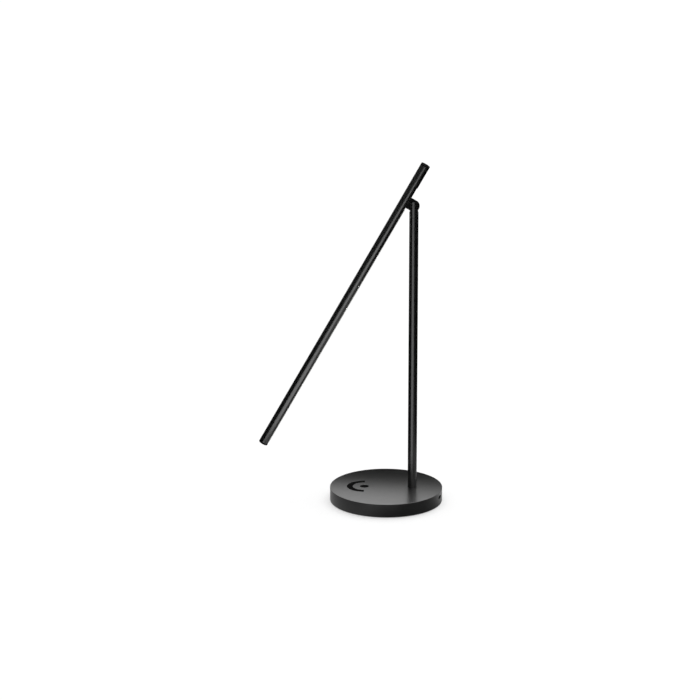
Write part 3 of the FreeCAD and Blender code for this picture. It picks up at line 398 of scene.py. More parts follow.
def tint(tree, pattern, shader, colour, swing):
    """Let the colour go a little lighter and darker with a pattern."""
    ramp = tree.nodes.new("ShaderNodeValToRGB")
    low, high = ramp.color_ramp.elements
    low.position = PATTERN_LOW
    high.position = PATTERN_HIGH
    low.color = [*(channel * (1.0 - swing) for channel in colour), 1.0]
    high.color = [*(min(channel * (1.0 + swing), 1.0) for channel in colour), 1.0]
    tree.links.new(pattern, ramp.inputs["Fac"])
    tree.links.new(ramp.outputs["Color"], shader.inputs["Base Color"])


def polish(tree, pattern, shader, rough, swing):
    """Let the roughness change a little with a pattern."""
    spread = tree.nodes.new("ShaderNodeMapRange")
    spread.inputs["From Min"].default_value = PATTERN_LOW
    spread.inputs["From Max"].default_value = PATTERN_HIGH
    spread.inputs["To Min"].default_value = rough - swing
    spread.inputs["To Max"].default_value = rough + swing
    tree.links.new(pattern, spread.inputs["Value"])
    tree.links.new(spread.outputs["Result"], shader.inputs["Roughness"])


def relief(tree, pattern, shader, height, strength):
    """Raise the surface a little with a pattern."""
    bump = tree.nodes.new("ShaderNodeBump")
    bump.inputs["Strength"].default_value = strength
    bump.inputs["Distance"].default_value = height
    tree.links.new(pattern, bump.inputs["Height"])
    tree.links.new(bump.outputs["Normal"], shader.inputs["Normal"])


def satin_coat(name, look, rough, index, height):
    """Sprayed satin black: a fine grain with broad, faint changes in its sheen."""
    material, tree, shader = shader_tree(name)
    fine = grain(tree, look.grain_size)
    broad = grain(tree, look.grain_size * COAT_SPREAD, detail=2.0)
    tint(tree, fine, shader, look.coat, swing=0.18)
    polish(tree, broad, shader, rough, swing=0.02)
    relief(tree, fine, shader, height, strength=0.6)
    shader.inputs["Specular IOR Level"].default_value = 1.0
    shader.inputs["IOR"].default_value = index
    return material


def lacquer(name, look, rough, index, height):
    """Satin black under a clear lacquer, which shines most where it is seen at a low angle."""
    material = satin_coat(name, look, rough, index, height)
    shader = next(node for node in material.node_tree.nodes if node.type == "BSDF_PRINCIPLED")
    shader.inputs["Specular IOR Level"].default_value = 0.5
    shader.inputs["Coat Weight"].default_value = 1.0
    shader.inputs["Coat Roughness"].default_value = rough
    shader.inputs["Coat IOR"].default_value = index
    return material


def moulded(name, look, colour, rough, gloss):
    """Moulded plastic or rubber, or a dull coat, with a fine texture."""
    material, tree, shader = shader_tree(name)
    fine = grain(tree, look.mould_grain)
    broad = grain(tree, look.mould_grain * MOULD_SPREAD)
    tint(tree, broad, shader, colour, swing=0.10)
    polish(tree, fine, shader, rough, swing=0.05)
    relief(tree, fine, shader, look.mould_relief, strength=0.5)
    shader.inputs["Specular IOR Level"].default_value = gloss
    return material


def metal(name, colour, rough, size, stretch):
    """Bare or plated metal with fine marks along one way."""
    material, tree, shader = shader_tree(name)
    marks = grain(tree, size, detail=4.0, stretch=stretch)
    broad = grain(tree, size * METAL_SPREAD)
    tint(tree, broad, shader, colour, swing=0.08)
    polish(tree, marks, shader, rough, swing=0.08)
    relief(tree, marks, shader, METAL_RELIEF, strength=0.4)
    shader.inputs["Metallic"].default_value = 1.0
    return material


def opal_strip(name, colour):
    """Milky plastic that lets light through softly."""
    material, tree, shader = shader_tree(name)
    cloud = grain(tree, size=0.004)
    tint(tree, cloud, shader, colour, swing=0.02)
    polish(tree, cloud, shader, rough=0.38, swing=0.04)
    shader.inputs["Transmission Weight"].default_value = 0.25
    shader.inputs["Subsurface Weight"].default_value = 0.35
    shader.inputs["Subsurface Radius"].default_value = (0.002, 0.002, 0.002)
    return material


def finish(slot, dull=False):
    """The material of one of the record's slots, made when it is first asked for."""
    name = slot + ("_dull" if dull else "_finish")
    known = bpy.data.materials.get(name)
    if known:
        return known
    look = bpy.context.scene.desk_lamp_finish
    if dull:
        return satin_coat(name, look, look.dull_rough, look.dull_index, look.coat_relief)
    if slot == "black_cover":
        return lacquer(name, look, look.base_rough, look.base_index, look.coat_relief)
    if slot == "black_post":
        return satin_coat(name, look, look.coat_rough, look.post_index, look.coat_relief)
    if slot == "black_bar":
        return satin_coat(name, look, look.coat_rough, look.bar_index, look.bar_relief)
    if slot == "opal":
        return opal_strip(name, look.opal)
    # Colour, roughness, size of the marks, and their stretch along X, Y and Z
    metals = {
        "steel": (look.steel, 0.30, 0.0004, (1.0, 1.0, 0.08)),
        # The inlet's shell is painted nearly black instead of steel grey: painted shade for the dark opening in
        # the base's side wall
        "inlet_steel": ((0.025, 0.025, 0.026), 0.45, 0.0003, (0.1, 1.0, 1.0)),
        "ballast": ((0.22, 0.22, 0.23), 0.55, 0.0012, (1.0, 0.06, 1.0)),
        "capacitor_can": ((0.60, 0.60, 0.61), 0.24, 0.0004, (1.0, 1.0, 0.08)),
        "conductive_pad": ((0.62, 0.60, 0.56), 0.34, 0.0006, (1.0, 1.0, 1.0)),
    }
    if slot in metals:
        return metal(name, *metals[slot])
    # Colour, roughness and gloss
    moulds = {
        "plate": ((0.020, 0.020, 0.021), 0.48, 0.5),
        "foot_rubber": ((0.022, 0.022, 0.023), 0.80, 0.5),
        "control_mark": (look.mark, 0.60, 0.001),
        "board": (look.board, 0.35, 0.5),
        "component": ((0.014, 0.014, 0.015), 0.48, 0.5),
        "insulator": ((0.030, 0.030, 0.031), 0.48, 0.5),
        "lead": ((0.030, 0.030, 0.032), 0.48, 0.5),
        "friction": ((0.55, 0.53, 0.47), 0.48, 0.5),
        "black_trim": ((0.006, 0.006, 0.006), 0.48, 0.10),
        "led_panel": ((0.74, 0.74, 0.72), 0.48, 0.5),
        "led": ((0.78, 0.62, 0.20), 0.25, 0.5),
    }
    return moulded(name, look, *moulds[slot])


# The base


class DESKLAMP_OT_base_cover(bpy.types.Operator):
    """Make the round cover with its rounded rim and its openings"""

    bl_idname = "desk_lamp.base_cover"
    bl_label = "Base cover"

    def execute(self, context):
        sizes = context.scene.desk_lamp_sizes
        outer = COVER_HIGH.x
        inner = outer - sizes.cover_wall
        top = COVER_HIGH.z
        roof = top - sizes.cover_roof
        foot = COVER_LOW.z
        band = sizes.edge_band
        step = FULL_TURN / COLUMNS
        low = INLET_SPOT.z - WINDOW_SHARE * sizes.inlet_height
        high = INLET_SPOT.z + WINDOW_SHARE * sizes.inlet_height
        bm = bmesh.new()
        wall = [
            (outer - sizes.cover_rim - band, top), (outer, top), (outer, top - sizes.cover_rim - band),
            (outer, high), (outer, low), (outer, foot + sizes.cover_foot + band), (outer, foot),
            (inner, foot), (inner, low), (inner, high), (inner, roof), (inner - band, roof)]
        spun(bm, wall, steps=COLUMNS, start=INLET_TURN - INLET_COLUMNS * step)
        rounded(bm, ring_edges(bm, outer, top), sizes.cover_rim, segments=5)
        rounded(bm, ring_edges(bm, outer, foot), sizes.cover_foot, segments=3)
        self.open_inlet(bm, sizes, (outer, inner), low, high, step)
        self.open_top(bm, sizes, top, roof, band)
        fill_level(bm, top)
        fill_level(bm, roof)
        make_piece(bm, "round_cover", "base_cover")
        return {"FINISHED"}

    def open_inlet(self, bm, sizes, walls, low, high, step):
        """Cut the inlet's opening through the side wall."""
        reach = (INLET_COLUMNS + COLUMN_SLACK) * step
        back = INLET.inverted()

        def in_window(spot):
            aside = abs(math.remainder(math.atan2(spot.y, spot.x) - INLET_TURN, FULL_TURN))
            return aside < reach and low - NEAR < spot.z < high + NEAR

        def in_slot(spot):
            own = back @ spot
            return abs(own.y) < sizes.inlet_width / 2 + NEAR and abs(own.z) < sizes.inlet_height / 2 + NEAR

        def on_wall(edge, radius, inside):
            return all(in_window(vert.co) and in_slot(vert.co) == inside
                       and abs(vert.co.xy.length - radius) < NEAR for vert in edge.verts)

        def open_edges(radius, inside):
            return [edge for edge in bm.edges if len(edge.link_faces) < 2 and on_wall(edge, radius, inside)]

        panes = [face for face in bm.faces if all(in_window(vert.co) for vert in face.verts)]
        bmesh.ops.delete(bm, geom=panes, context="FACES")
        for radius in walls:
            self.rounded_slot(bm, sizes, back, radius)
        for radius in walls:
            bmesh.ops.bridge_loops(bm, edges=open_edges(radius, False) + open_edges(radius, True))
        bmesh.ops.bridge_loops(bm, edges=open_edges(walls[0], True) + open_edges(walls[1], True))
        lip = [edge for edge in bm.edges if on_wall(edge, walls[0], True)]
        rounded(bm, lip, sizes.inlet_lip, segments=3)

    def rounded_slot(self, bm, sizes, back, radius):
        """A loop with two straight and two round sides, laid on a wall of one radius."""
        half = sizes.inlet_height / 2
        spread = sizes.inlet_width / 2 - half
        half_step = Matrix.Rotation(math.pi / INLET_STEPS, 4, "Z")
        upright = INLET @ Matrix.Rotation(math.pi / 2, 4, "Y") @ half_step
        verts = bmesh.ops.create_circle(
            bm, cap_ends=False, segments=INLET_STEPS, radius=half, matrix=upright)["verts"]
        for vert in verts:
            spot = back @ vert.co
            spot.y += math.copysign(spread, spot.y)
            spot.x = radius
            vert.co = INLET @ spot
        edges = {edge for vert in verts for edge in vert.link_edges}
        straight = [edge for edge in edges if edge.calc_length() > spread]
        bmesh.ops.bisect_edges(bm, edges=straight, cuts=INLET_CUTS)
        for vert in bm.verts:
            spot = back @ vert.co
            if vert.is_wire and abs(spot.x - radius) < NEAR:
                spot.x = math.sqrt(radius ** 2 - spot.y ** 2)
                vert.co = INLET @ spot

    def open_top(self, bm, sizes, top, roof, band):
        """Sink the post's seat, the key's hole and the half ring's window into the top."""
        seat = POST_HIGH.x - POST_X
        spun(bm, [(seat + band, top), (seat, top), (seat, top - sizes.seat_depth),
                  (sizes.stud_hole, top - sizes.seat_depth), (sizes.stud_hole, roof)],
             (POST_X, 0.0), HOLE_STEPS)
        rounded(bm, ring_edges(bm, seat, top, (POST_X, 0.0)), sizes.opening_lip, segments=2)
        hole = KEY_HIGH.y - sizes.key_flange + sizes.fit_gap
        spun(bm, [(hole + band, top), (hole, top), (hole, roof)], (CONTROL_X, 0.0), HOLE_STEPS)
        rounded(bm, ring_edges(bm, hole, top, (CONTROL_X, 0.0)), sizes.opening_lip, segments=2)
        wide = ARC_HIGH.y - sizes.arc_lip
        narrow = wide - sizes.arc_width
        ends = []
        for radius, beyond in ((wide, band), (narrow, -band)):
            rim = bm.verts.new((CONTROL_X, radius + beyond, top))
            corner = bm.verts.new((CONTROL_X, radius, top))
            deep = bm.verts.new((CONTROL_X, radius, roof))
            line = [bm.edges.new((rim, corner)), bm.edges.new((corner, deep))]
            far = bmesh.ops.spin(
                bm, geom=[rim, corner, deep] + line, cent=(CONTROL_X, 0.0, 0.0), axis=(0.0, 0.0, 1.0),
                angle=math.pi, steps=HOLE_STEPS)["geom_last"]
            last = [item for item in far if isinstance(item, bmesh.types.BMEdge)]
            for vert in [rim] + [item for item in far if isinstance(item, bmesh.types.BMVert)]:
                if abs(abs(vert.co.y) - radius - beyond) < NEAR:
                    vert.co.x += band
            ends.append((line, last))
        for side in range(2):
            bmesh.ops.bridge_loops(bm, edges=ends[0][side] + ends[1][side])

        def on_outline(vert):
            away = math.hypot(vert.co.x - CONTROL_X, vert.co.y)
            return abs(vert.co.z - top) < NEAR and min(abs(away - wide), abs(away - narrow)) < NEAR

        outline = [edge for edge in bm.edges if all(on_outline(vert) for vert in edge.verts)]
        rounded(bm, outline, sizes.opening_lip, segments=2)


class DESKLAMP_OT_controls(bpy.types.Operator):
    """Make the dimmer's half ring and the power key"""

    bl_idname = "desk_lamp.controls"
    bl_label = "Controls"

    def execute(self, context):
        sizes = context.scene.desk_lamp_sizes
        gap = sizes.fit_gap / 2
        wide = ARC_HIGH.y - sizes.arc_lip
        narrow = wide - sizes.arc_width
        roof = COVER_HIGH.z - sizes.cover_roof
        face = ARC_HIGH.z
        section = [
            (narrow - sizes.arc_heel, ARC_LOW.z), (wide + sizes.arc_lip, ARC_LOW.z),
            (wide + sizes.arc_lip, roof), (wide - gap, roof), (wide - gap, face), (narrow + gap, face),
            (narrow + gap, roof), (narrow - sizes.arc_heel, roof)]
        bm = bmesh.new()
        verts = [bm.verts.new((CONTROL_X - gap, radius, z)) for radius, z in section]
        bmesh.ops.spin(bm, geom=[bm.faces.new(verts)], cent=(CONTROL_X - gap, 0.0, 0.0),
                       axis=(0.0, 0.0, 1.0), angle=math.pi, steps=HOLE_STEPS)
        bmesh.ops.recalc_face_normals(bm, faces=bm.faces)
        corners = [edge for edge in sharp_edges(bm)
                   if all(abs(vert.co.z - face) < NEAR for vert in edge.verts)]
        rounded(bm, corners, sizes.opening_lip, segments=2)
        make_piece(bm, "dimmer_half_ring", "dimmer_arc")

        flange = KEY_HIGH.y
        button = flange - sizes.key_flange
        flat = button * DISH_SHARE
        top = KEY_HIGH.z
        dish = top - sizes.key_dish
        ledge = KEY_LOW.z + FLANGE_SHARE * (roof - KEY_LOW.z)
        bm = bmesh.new()
        spun(bm, [(0.0, dish), (flat, dish), (button, top), (button, ledge), (flange, ledge),
                  (flange, KEY_LOW.z), (0.0, KEY_LOW.z)], (CONTROL_X, 0.0), HOLE_STEPS)
        rounded(bm, ring_edges(bm, flat, dish, (CONTROL_X, 0.0)), sizes.key_dish_edge, segments=4)
        rounded(bm, ring_edges(bm, button, top, (CONTROL_X, 0.0)), sizes.key_edge, segments=3)
        make_piece(bm, "round_key", "power_key")
        return {"FINISHED"}


class DESKLAMP_OT_inlet(bpy.types.Operator):
    """Make the inlet's metal shell and its tongue"""

    bl_idname = "desk_lamp.inlet"
    bl_label = "Power inlet"

    def execute(self, context):
        sizes = context.scene.desk_lamp_sizes
        make_piece(solid_copy("inlet_shell", sizes.shell_edge), "inlet_sleeve", "inlet_shell")
        make_piece(solid_copy("inlet_tongue", sizes.tongue_edge), "inlet_blade", "inlet_tongue")
        return {"FINISHED"}


class DESKLAMP_OT_underside(bpy.types.Operator):
    """Make the steel plate under the base and its foot pad"""

    bl_idname = "desk_lamp.underside"
    bl_label = "Underside"

    def execute(self, context):
        sizes = context.scene.desk_lamp_sizes
        pad = PAD_HIGH.x
        bm = bmesh.new()
        spun(bm, [(0.0, PAD_LOW.z), (pad - sizes.pad_band, PAD_LOW.z), (pad, PAD_LOW.z),
                  (pad, PAD_HIGH.z), (0.0, PAD_HIGH.z)])
        rounded(bm, ring_edges(bm, pad, PAD_LOW.z), sizes.pad_round, segments=4)
        make_piece(bm, "foot_disc", "foot_pad")

        recess = pad + sizes.pad_gap
        rim = PLATE_HIGH.x
        bm = bmesh.new()
        spun(bm, [(0.0, PAD_HIGH.z), (recess, PAD_HIGH.z), (recess, PLATE_LOW.z), (rim, PLATE_LOW.z),
                  (rim, PLATE_HIGH.z), (0.0, PLATE_HIGH.z)], steps=COLUMNS)
        rounded(bm, ring_edges(bm, recess, PLATE_LOW.z), sizes.small_round, segments=2)
        rounded(bm, ring_edges(bm, rim, PLATE_LOW.z), sizes.small_round, segments=2)
        make_piece(bm, "bottom_plate", "base_plate")
        return {"FINISHED"}


# The post and the hinge


class DESKLAMP_OT_post(bpy.types.Operator):
    """Make the upright tube"""

    bl_idname = "desk_lamp.post"
    bl_label = "Post"

    def execute(self, context):
        sizes = context.scene.desk_lamp_sizes
        radius = POST_HIGH.x - POST_X
        shoulder = POST_HIGH.z - sizes.edge_band
        bm = bmesh.new()
        spun(bm, [(sizes.post_bore, POST_LOW.z), (radius, POST_LOW.z), (radius, shoulder),
                  (radius, POST_HIGH.z), (sizes.post_bore, POST_HIGH.z)], (POST_X, 0.0), closed=True)
        rounded(bm, ring_edges(bm, radius, POST_HIGH.z, (POST_X, 0.0)), sizes.post_edge, segments=2)
        make_piece(bm, "upright_tube", "post_tube")
        return {"FINISHED"}


class DESKLAMP_OT_hinge(bpy.types.Operator):
    """Make the fork, its screw, the friction washers and the bar's lug"""

    bl_idname = "desk_lamp.hinge"
    bl_label = "Hinge"

    def execute(self, context):
        sizes = context.scene.desk_lamp_sizes
        fork = solid_copy("post_fork", sizes.small_round, segments=3)
        make_piece(fork, "hinge_fork", "post_fork")
        lug = solid_copy("bar_lug", sizes.small_round, segments=3)
        make_piece(lug, "hinge_lug", "bar_lug", dull=True)
        make_piece(solid_copy("hinge_screw", sizes.screw_edge), "pivot_screw", "hinge_screw")
        make_piece(solid_copy("friction_washers", sizes.washer_edge), "friction_rings", "friction_washers")
        make_piece(solid_copy("lug_screws", sizes.grub_edge), "grub_screws", "lug_screws")
        return {"FINISHED"}


# The light bar


class DESKLAMP_OT_bar_tube(bpy.types.Operator):
    """Make the slotted tube with the web that carries the lights"""

    bl_idname = "desk_lamp.bar_tube"
    bl_label = "Bar tube"

    def execute(self, context):
        sizes = context.scene.desk_lamp_sizes
        inside = TUBE_RADIUS - sizes.bar_wall
        slot = sizes.bar_slot / 2
        outer_lip = math.asin(slot / TUBE_RADIUS)
        inner_lip = math.asin(slot / inside)
        web = math.acos(-sizes.web_face / inside)
        hollow = math.acos(-(sizes.web_face + sizes.web_thick) / inside)
        bm = bmesh.new()
        outside = arc_line(bm, TUBE_RADIUS, outer_lip, FULL_TURN - outer_lip, RING_STEPS)
        right = arc_line(bm, inside, -inner_lip, -web, GROOVE_STEPS)
        left = arc_line(bm, inside, web, inner_lip, GROOVE_STEPS)
        behind = arc_line(bm, inside, hollow, FULL_TURN - hollow, HOLLOW_STEPS)
        for pair in ((outside[-1], right[0]), (right[-1], left[0]), (left[-1], outside[0]),
                     (behind[-1], behind[0])):
            bm.edges.new(pair)
        made = bmesh.ops.triangle_fill(bm, use_beauty=True, use_dissolve=False, edges=bm.edges[:])["geom"]
        faces = [item for item in made if isinstance(item, bmesh.types.BMFace)]
        drawn_out(bm, faces, TUBE_LOW.z, TUBE_HIGH.z)
        bmesh.ops.recalc_face_normals(bm, faces=bm.faces)
        lips = [edge for edge in bm.edges
                if all(abs(vert.co.xy.length - TUBE_RADIUS) < NEAR for vert in edge.verts)
                and all(abs(abs(vert.co.y) - slot) < NEAR for vert in edge.verts)
                and edge.calc_length() > slot * 2]
        rounded(bm, lips, sizes.small_round, segments=2)
        make_piece(bm, "slotted_tube", "bar_tube", BAR)
        return {"FINISHED"}


class DESKLAMP_OT_bar_strips(bpy.types.Operator):
    """Make the milky strip and the plain strip that close the slot"""

    bl_idname = "desk_lamp.bar_strips"
    bl_label = "Bar strips"

    def execute(self, context):
        sizes = context.scene.desk_lamp_sizes
        self.strip(sizes, "milky_strip", "diffuser")
        self.strip(sizes, "plain_strip", "slot_cover")
        return {"FINISHED"}

    def strip(self, sizes, name, node):
        """One strip with a crowned face, its legs and the lips behind the slot."""
        low, high = own_box(node, BAR)
        half = sizes.bar_slot / 2 - sizes.strip_gap
        lip = high.y
        shoulder = math.sqrt((TUBE_RADIUS - sizes.bar_wall) ** 2 - lip ** 2) - sizes.strip_gap
        corner = math.asin(half / TUBE_RADIUS)
        under = TUBE_RADIUS - sizes.strip_skin
        leg = half - sizes.strip_skin
        rest = [(shoulder, -half), (shoulder, -lip), (low.x, -lip), (low.x, -leg), (under, -leg),
                (under, leg), (low.x, leg), (low.x, lip), (shoulder, lip), (shoulder, half)]
        bm = bmesh.new()
        line = arc_line(bm, TUBE_RADIUS, corner, -corner, STRIP_STEPS)
        line += [bm.verts.new((x, y, 0.0)) for x, y in rest]
        drawn_out(bm, [bm.faces.new(line)], low.z, high.z)
        make_piece(bm, name, node, BAR)


class DESKLAMP_OT_bar_caps(bpy.types.Operator):
    """Make the two caps that close the ends of the bar"""

    bl_idname = "desk_lamp.bar_caps"
    bl_label = "Bar caps"

    def execute(self, context):
        sizes = context.scene.desk_lamp_sizes
        self.cap(sizes, "lower_cap", "tip_cap", TUBE_LOW.z, own_box("tip_cap", BAR)[0].z)
        self.cap(sizes, "upper_cap", "tail_cap", TUBE_HIGH.z, own_box("tail_cap", BAR)[1].z)
        return {"FINISHED"}

    def cap(self, sizes, name, node, seam, end):
        """One cap from the seam on the tube to its slightly domed end."""
        outwards = math.copysign(1.0, end - seam)
        shoulder = end - outwards * sizes.cap_crown
        straight = shoulder - outwards * sizes.cap_band
        bend = (TUBE_RADIUS - sizes.cap_edge) * DOME_SHARE
        bend_z = end - outwards * sizes.cap_crown * DOME_DROP
        bm = bmesh.new()
        spun(bm, [(0.0, seam), (TUBE_RADIUS, seam), (TUBE_RADIUS, straight), (TUBE_RADIUS, shoulder),
                  (bend, bend_z), (0.0, end)])
        rounded(bm, ring_edges(bm, TUBE_RADIUS, shoulder), sizes.cap_edge, segments=4)
        rounded(bm, ring_edges(bm, bend, bend_z), sizes.cap_dome, segments=4)
        make_piece(bm, name, node, BAR, dull=True)


class DESKLAMP_OT_inner_parts(bpy.types.Operator):
    """Give the solids, which show inside the lamp, their finishes"""

    bl_idname = "desk_lamp.inner_parts"
    bl_label = "Inner parts"

    def execute(self, context):
        for node, slot in SLOTS.items():
            solid = frame["nodes"][node]
            solid.data.materials.clear()
            solid.data.materials.append(finish(slot))
        return {"FINISHED"}


# The stage


def seen_ray(tree):
    """1 where a ray comes from the camera, a gloss or a clear material, and 0 elsewhere."""
    path = tree.nodes.new("ShaderNodeLightPath")
    total = path.outputs["Is Camera Ray"]
    for kind in ("Is Glossy Ray", "Is Transmission Ray"):
        more = tree.nodes.new("ShaderNodeMath")
        more.operation = "MAXIMUM"
        tree.links.new(total, more.inputs[0])
        tree.links.new(path.outputs[kind], more.inputs[1])
        total = more.outputs["Value"]
    return total


def card(bm, name, glow):
    """A piece of the stage that only shows in the lamp's gloss."""
    material, tree, output = bare_tree(name)
    light = tree.nodes.new("ShaderNodeEmission")
    light.inputs["Strength"].default_value = glow
    tree.links.new(light.outputs["Emission"], output.inputs["Surface"])
    panel = new_object(bm, name, material)
    panel.visible_camera = False
    panel.visible_diffuse = False
    panel.visible_transmission = False
    panel.visible_shadow = False
    return panel


class DESKLAMP_OT_stage(bpy.types.Operator):
    """Set the pale floor, the soft light, the dark cards and the camera"""

    bl_idname = "desk_lamp.stage"
    bl_label = "Stage"

    def execute(self, context):
        look = context.scene.desk_lamp_stage
        context.scene.view_settings.view_transform = "Standard"
        self.make_floor(look)
        self.make_cards()
        self.make_light(context, look)
        self.make_camera(context, look)
        return {"FINISHED"}

    def make_floor(self, look):
        """A wide pale floor that is white where it is seen and keeps the shadow."""
        bm = bmesh.new()
        bmesh.ops.create_grid(bm, x_segments=1, y_segments=1, size=FLOOR_REACH,
                              matrix=Matrix.Translation((0.0, 0.0, -FLOOR_DROP)))
        material, tree, output = bare_tree("pale_floor")
        material.cycles.emission_sampling = "NONE"
        mix = tree.nodes.new("ShaderNodeMixShader")
        plain = tree.nodes.new("ShaderNodeBsdfDiffuse")
        plain.inputs["Color"].default_value = grey(look.floor_bounce)
        seen = tree.nodes.new("ShaderNodeBsdfDiffuse")
        seen.inputs["Color"].default_value = grey(look.floor_tone)
        glow = tree.nodes.new("ShaderNodeEmission")
        glow.inputs["Strength"].default_value = look.floor_glow
        both = tree.nodes.new("ShaderNodeAddShader")
        tree.links.new(seen.outputs["BSDF"], both.inputs[0])
        tree.links.new(glow.outputs["Emission"], both.inputs[1])
        tree.links.new(seen_ray(tree), mix.inputs["Fac"])
        tree.links.new(plain.outputs["BSDF"], mix.inputs[1])
        tree.links.new(both.outputs["Shader"], mix.inputs[2])
        tree.links.new(mix.outputs["Shader"], output.inputs["Surface"])
        floor = new_object(bm, "floor", material)

    def make_cards(self):
        """Dark cards round a white strip of floor, and a dim mat close round the base."""
        upright = Matrix.Rotation(math.pi / 2, 4, "X")
        sideways = Matrix.Rotation(math.pi / 2, 4, "Z") @ upright
        slanted = Matrix.Rotation(CARD_SLANT, 4, "Z")
        rolled = Matrix.Rotation(SCREEN_ROLL, 4, "Y") @ upright
        # Name, middle, width and height, turn, glow
        panels = (
            ("right_floor", (3.135, 0.0, CARD_LIFT), (5.73, 12.0), LEVEL, 0.0),
            ("near_floor", (0.165, -0.20, CARD_LIFT), (0.21, 0.60), LEVEL, 0.27),
            ("left_floor", slanted @ Vector((-2.98, -1.5, CARD_LIFT)), (6.0, 9.0), slanted, 0.0),
            ("right_wall", (2.5, -0.5, 0.45), (4.0, 0.9), sideways, 0.0),
            ("left_wall", (-2.5, 0.0, 0.90), (5.0, 1.8), sideways, 0.0),
            ("front_left_wall", (-1.65, -2.5, 0.80), (1.7, 1.6), upright, 0.0),
            ("front_wall", (0.85, -2.5, 0.40), (3.3, 0.8), upright, 0.0),
            ("back_screen", (0.0, 0.100, 0.0300), (0.6, 0.0600), rolled, 0.0),
            ("top_screen", (0.12, 0.20, 0.52), (0.5, 0.20), upright, 0.0),
        )
        for name, spot, size, turn, glow in panels:
            bm = bmesh.new()
            place = Matrix.Translation(spot) @ turn @ Matrix.Diagonal((*size, 1.0, 1.0))
            bmesh.ops.create_grid(bm, x_segments=1, y_segments=1, size=0.5, matrix=place)
            card(bm, name, glow)
        bm = bmesh.new()
        spun(bm, [(MAT_INSIDE, MAT_LIFT), (MAT_OUTSIDE, MAT_LIFT)])
        mat = card(bm, "round_mat", 1.0)
        self.shade_round(mat.data.materials[0].node_tree)

    def shade_round(self, tree):
        """Let the mat's glow change smoothly with the angle round the base."""
        place = tree.nodes.new("ShaderNodeTexCoord")
        around = tree.nodes.new("ShaderNodeTexGradient")
        around.gradient_type = "RADIAL"
        ramp = tree.nodes.new("ShaderNodeValToRGB")
        stops = ramp.color_ramp.elements
        # Share of the turn, and the glow there
        levels = ((0.0, 0.26), (0.05, 0.29), (0.18, 0.33), (0.25, 0.12), (0.30, 0.085), (0.40, 0.11),
                  (0.45, 0.17), (0.52, 0.40), (0.75, 0.60), (1.0, 0.26))
        while len(stops) < len(levels):
            stops.new(0.5)
        for stop, (spot, glow) in zip(stops, levels):
            stop.position = spot
            stop.color = grey(glow)
        light = next(node for node in tree.nodes if node.type == "EMISSION")
        tree.links.new(place.outputs["Object"], around.inputs["Vector"])
        tree.links.new(around.outputs["Fac"], ramp.inputs["Fac"])
        tree.links.new(ramp.outputs["Color"], light.inputs["Color"])

    def make_light(self, context, look):
        """Even light from all round, with a broad lamp overhead."""
        world = bpy.data.worlds.new("studio")
        context.scene.world = world
        world.use_nodes = True
        world.cycles.sampling_method = "NONE"
        tree = world.node_tree
        tree.nodes.clear()
        output = tree.nodes.new("ShaderNodeOutputWorld")
        mix = tree.nodes.new("ShaderNodeMixShader")
        even = tree.nodes.new("ShaderNodeBackground")
        even.inputs["Strength"].default_value = look.sky
        white = tree.nodes.new("ShaderNodeBackground")
        white.inputs["Strength"].default_value = 1.0
        for node in (even, white):
            node.inputs["Color"].default_value = grey(1.0)
        tree.links.new(seen_ray(tree), mix.inputs["Fac"])
        tree.links.new(even.outputs["Background"], mix.inputs[1])
        tree.links.new(white.outputs["Background"], mix.inputs[2])
        tree.links.new(mix.outputs["Shader"], output.inputs["Surface"])
        lamp = bpy.data.lights.new("broad_lamp", "SUN")
        lamp.energy = look.lamp
        lamp.angle = look.lamp_spread
        lamp.specular_factor = 0.0
        broad = bpy.data.objects.new("broad_lamp", lamp)
        broad.rotation_euler = (look.lamp_front, look.lamp_right, 0.0)
        context.scene.collection.objects.link(broad)

    def make_camera(self, context, look):
        """The camera where the picture was taken from."""
        turn, lift = look.camera_turn, look.camera_lift
        away = Vector((math.sin(turn) * math.cos(lift), -math.cos(turn) * math.cos(lift), math.sin(lift)))
        aside = Vector((math.cos(turn), math.sin(turn), 0.0))
        aim = aside * -look.aim_left + Vector((0.0, 0.0, look.aim_height))
        lens = bpy.data.cameras.new("camera")
        lens.lens = look.camera_lens
        lens.sensor_width = look.camera_sensor
        lens.clip_end = VIEW_REACH
        camera = bpy.data.objects.new("camera", lens)
        camera.location = aim + away * look.camera_way
        camera.rotation_euler = away.to_track_quat("Z", "Y").to_euler()
        context.scene.collection.objects.link(camera)
        context.scene.camera = camera


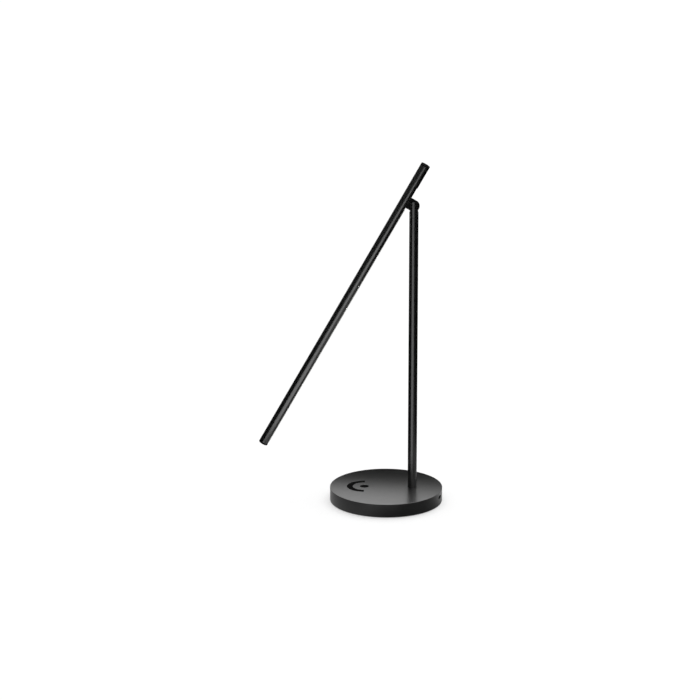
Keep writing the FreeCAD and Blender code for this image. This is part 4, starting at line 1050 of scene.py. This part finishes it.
STEPS = (
    DESKLAMP_OT_base_cover, DESKLAMP_OT_controls, DESKLAMP_OT_inlet, DESKLAMP_OT_underside,
    DESKLAMP_OT_post, DESKLAMP_OT_hinge, DESKLAMP_OT_bar_tube, DESKLAMP_OT_bar_strips,
    DESKLAMP_OT_bar_caps, DESKLAMP_OT_inner_parts, DESKLAMP_OT_stage,
)


class DESKLAMP_PT_panel(bpy.types.Panel):
    """Sizes, finishes and steps of the desk lamp"""

    bl_idname = "DESKLAMP_PT_panel"
    bl_label = "Desk lamp"
    bl_space_type = "VIEW_3D"
    bl_region_type = "UI"
    bl_category = "Desk lamp"

    def draw(self, context):
        column = self.layout.column()
        scene = context.scene
        for group in (scene.desk_lamp_sizes, scene.desk_lamp_finish, scene.desk_lamp_stage):
            for name in group.__annotations__:
                column.prop(group, name)
        for step in STEPS:
            column.operator(step.bl_idname)


GROUPS = {
    "desk_lamp_sizes": DeskLampSizes,
    "desk_lamp_finish": DeskLampFinish,
    "desk_lamp_stage": DeskLampStage,
}


def register():
    """Add the classes and the settings to Blender."""
    for group in (*GROUPS.values(), *STEPS, DESKLAMP_PT_panel):
        bpy.utils.register_class(group)
    for name, group in GROUPS.items():
        setattr(bpy.types.Scene, name, bpy.props.PointerProperty(type=group))


def unregister():
    """Take the settings and the classes out again."""
    for name in GROUPS:
        delattr(bpy.types.Scene, name)
    for group in (DESKLAMP_PT_panel, *reversed(STEPS), *reversed(GROUPS.values())):
        bpy.utils.unregister_class(group)


def main():
    """Build the lamp and its stage."""
    register()
    bpy.ops.desk_lamp.base_cover()
    bpy.ops.desk_lamp.controls()
    bpy.ops.desk_lamp.inlet()
    bpy.ops.desk_lamp.underside()
    bpy.ops.desk_lamp.post()
    bpy.ops.desk_lamp.hinge()
    bpy.ops.desk_lamp.bar_tube()
    bpy.ops.desk_lamp.bar_strips()
    bpy.ops.desk_lamp.bar_caps()
    bpy.ops.desk_lamp.inner_parts()
    bpy.ops.desk_lamp.stage()


if __name__ == "__main__":
    main()
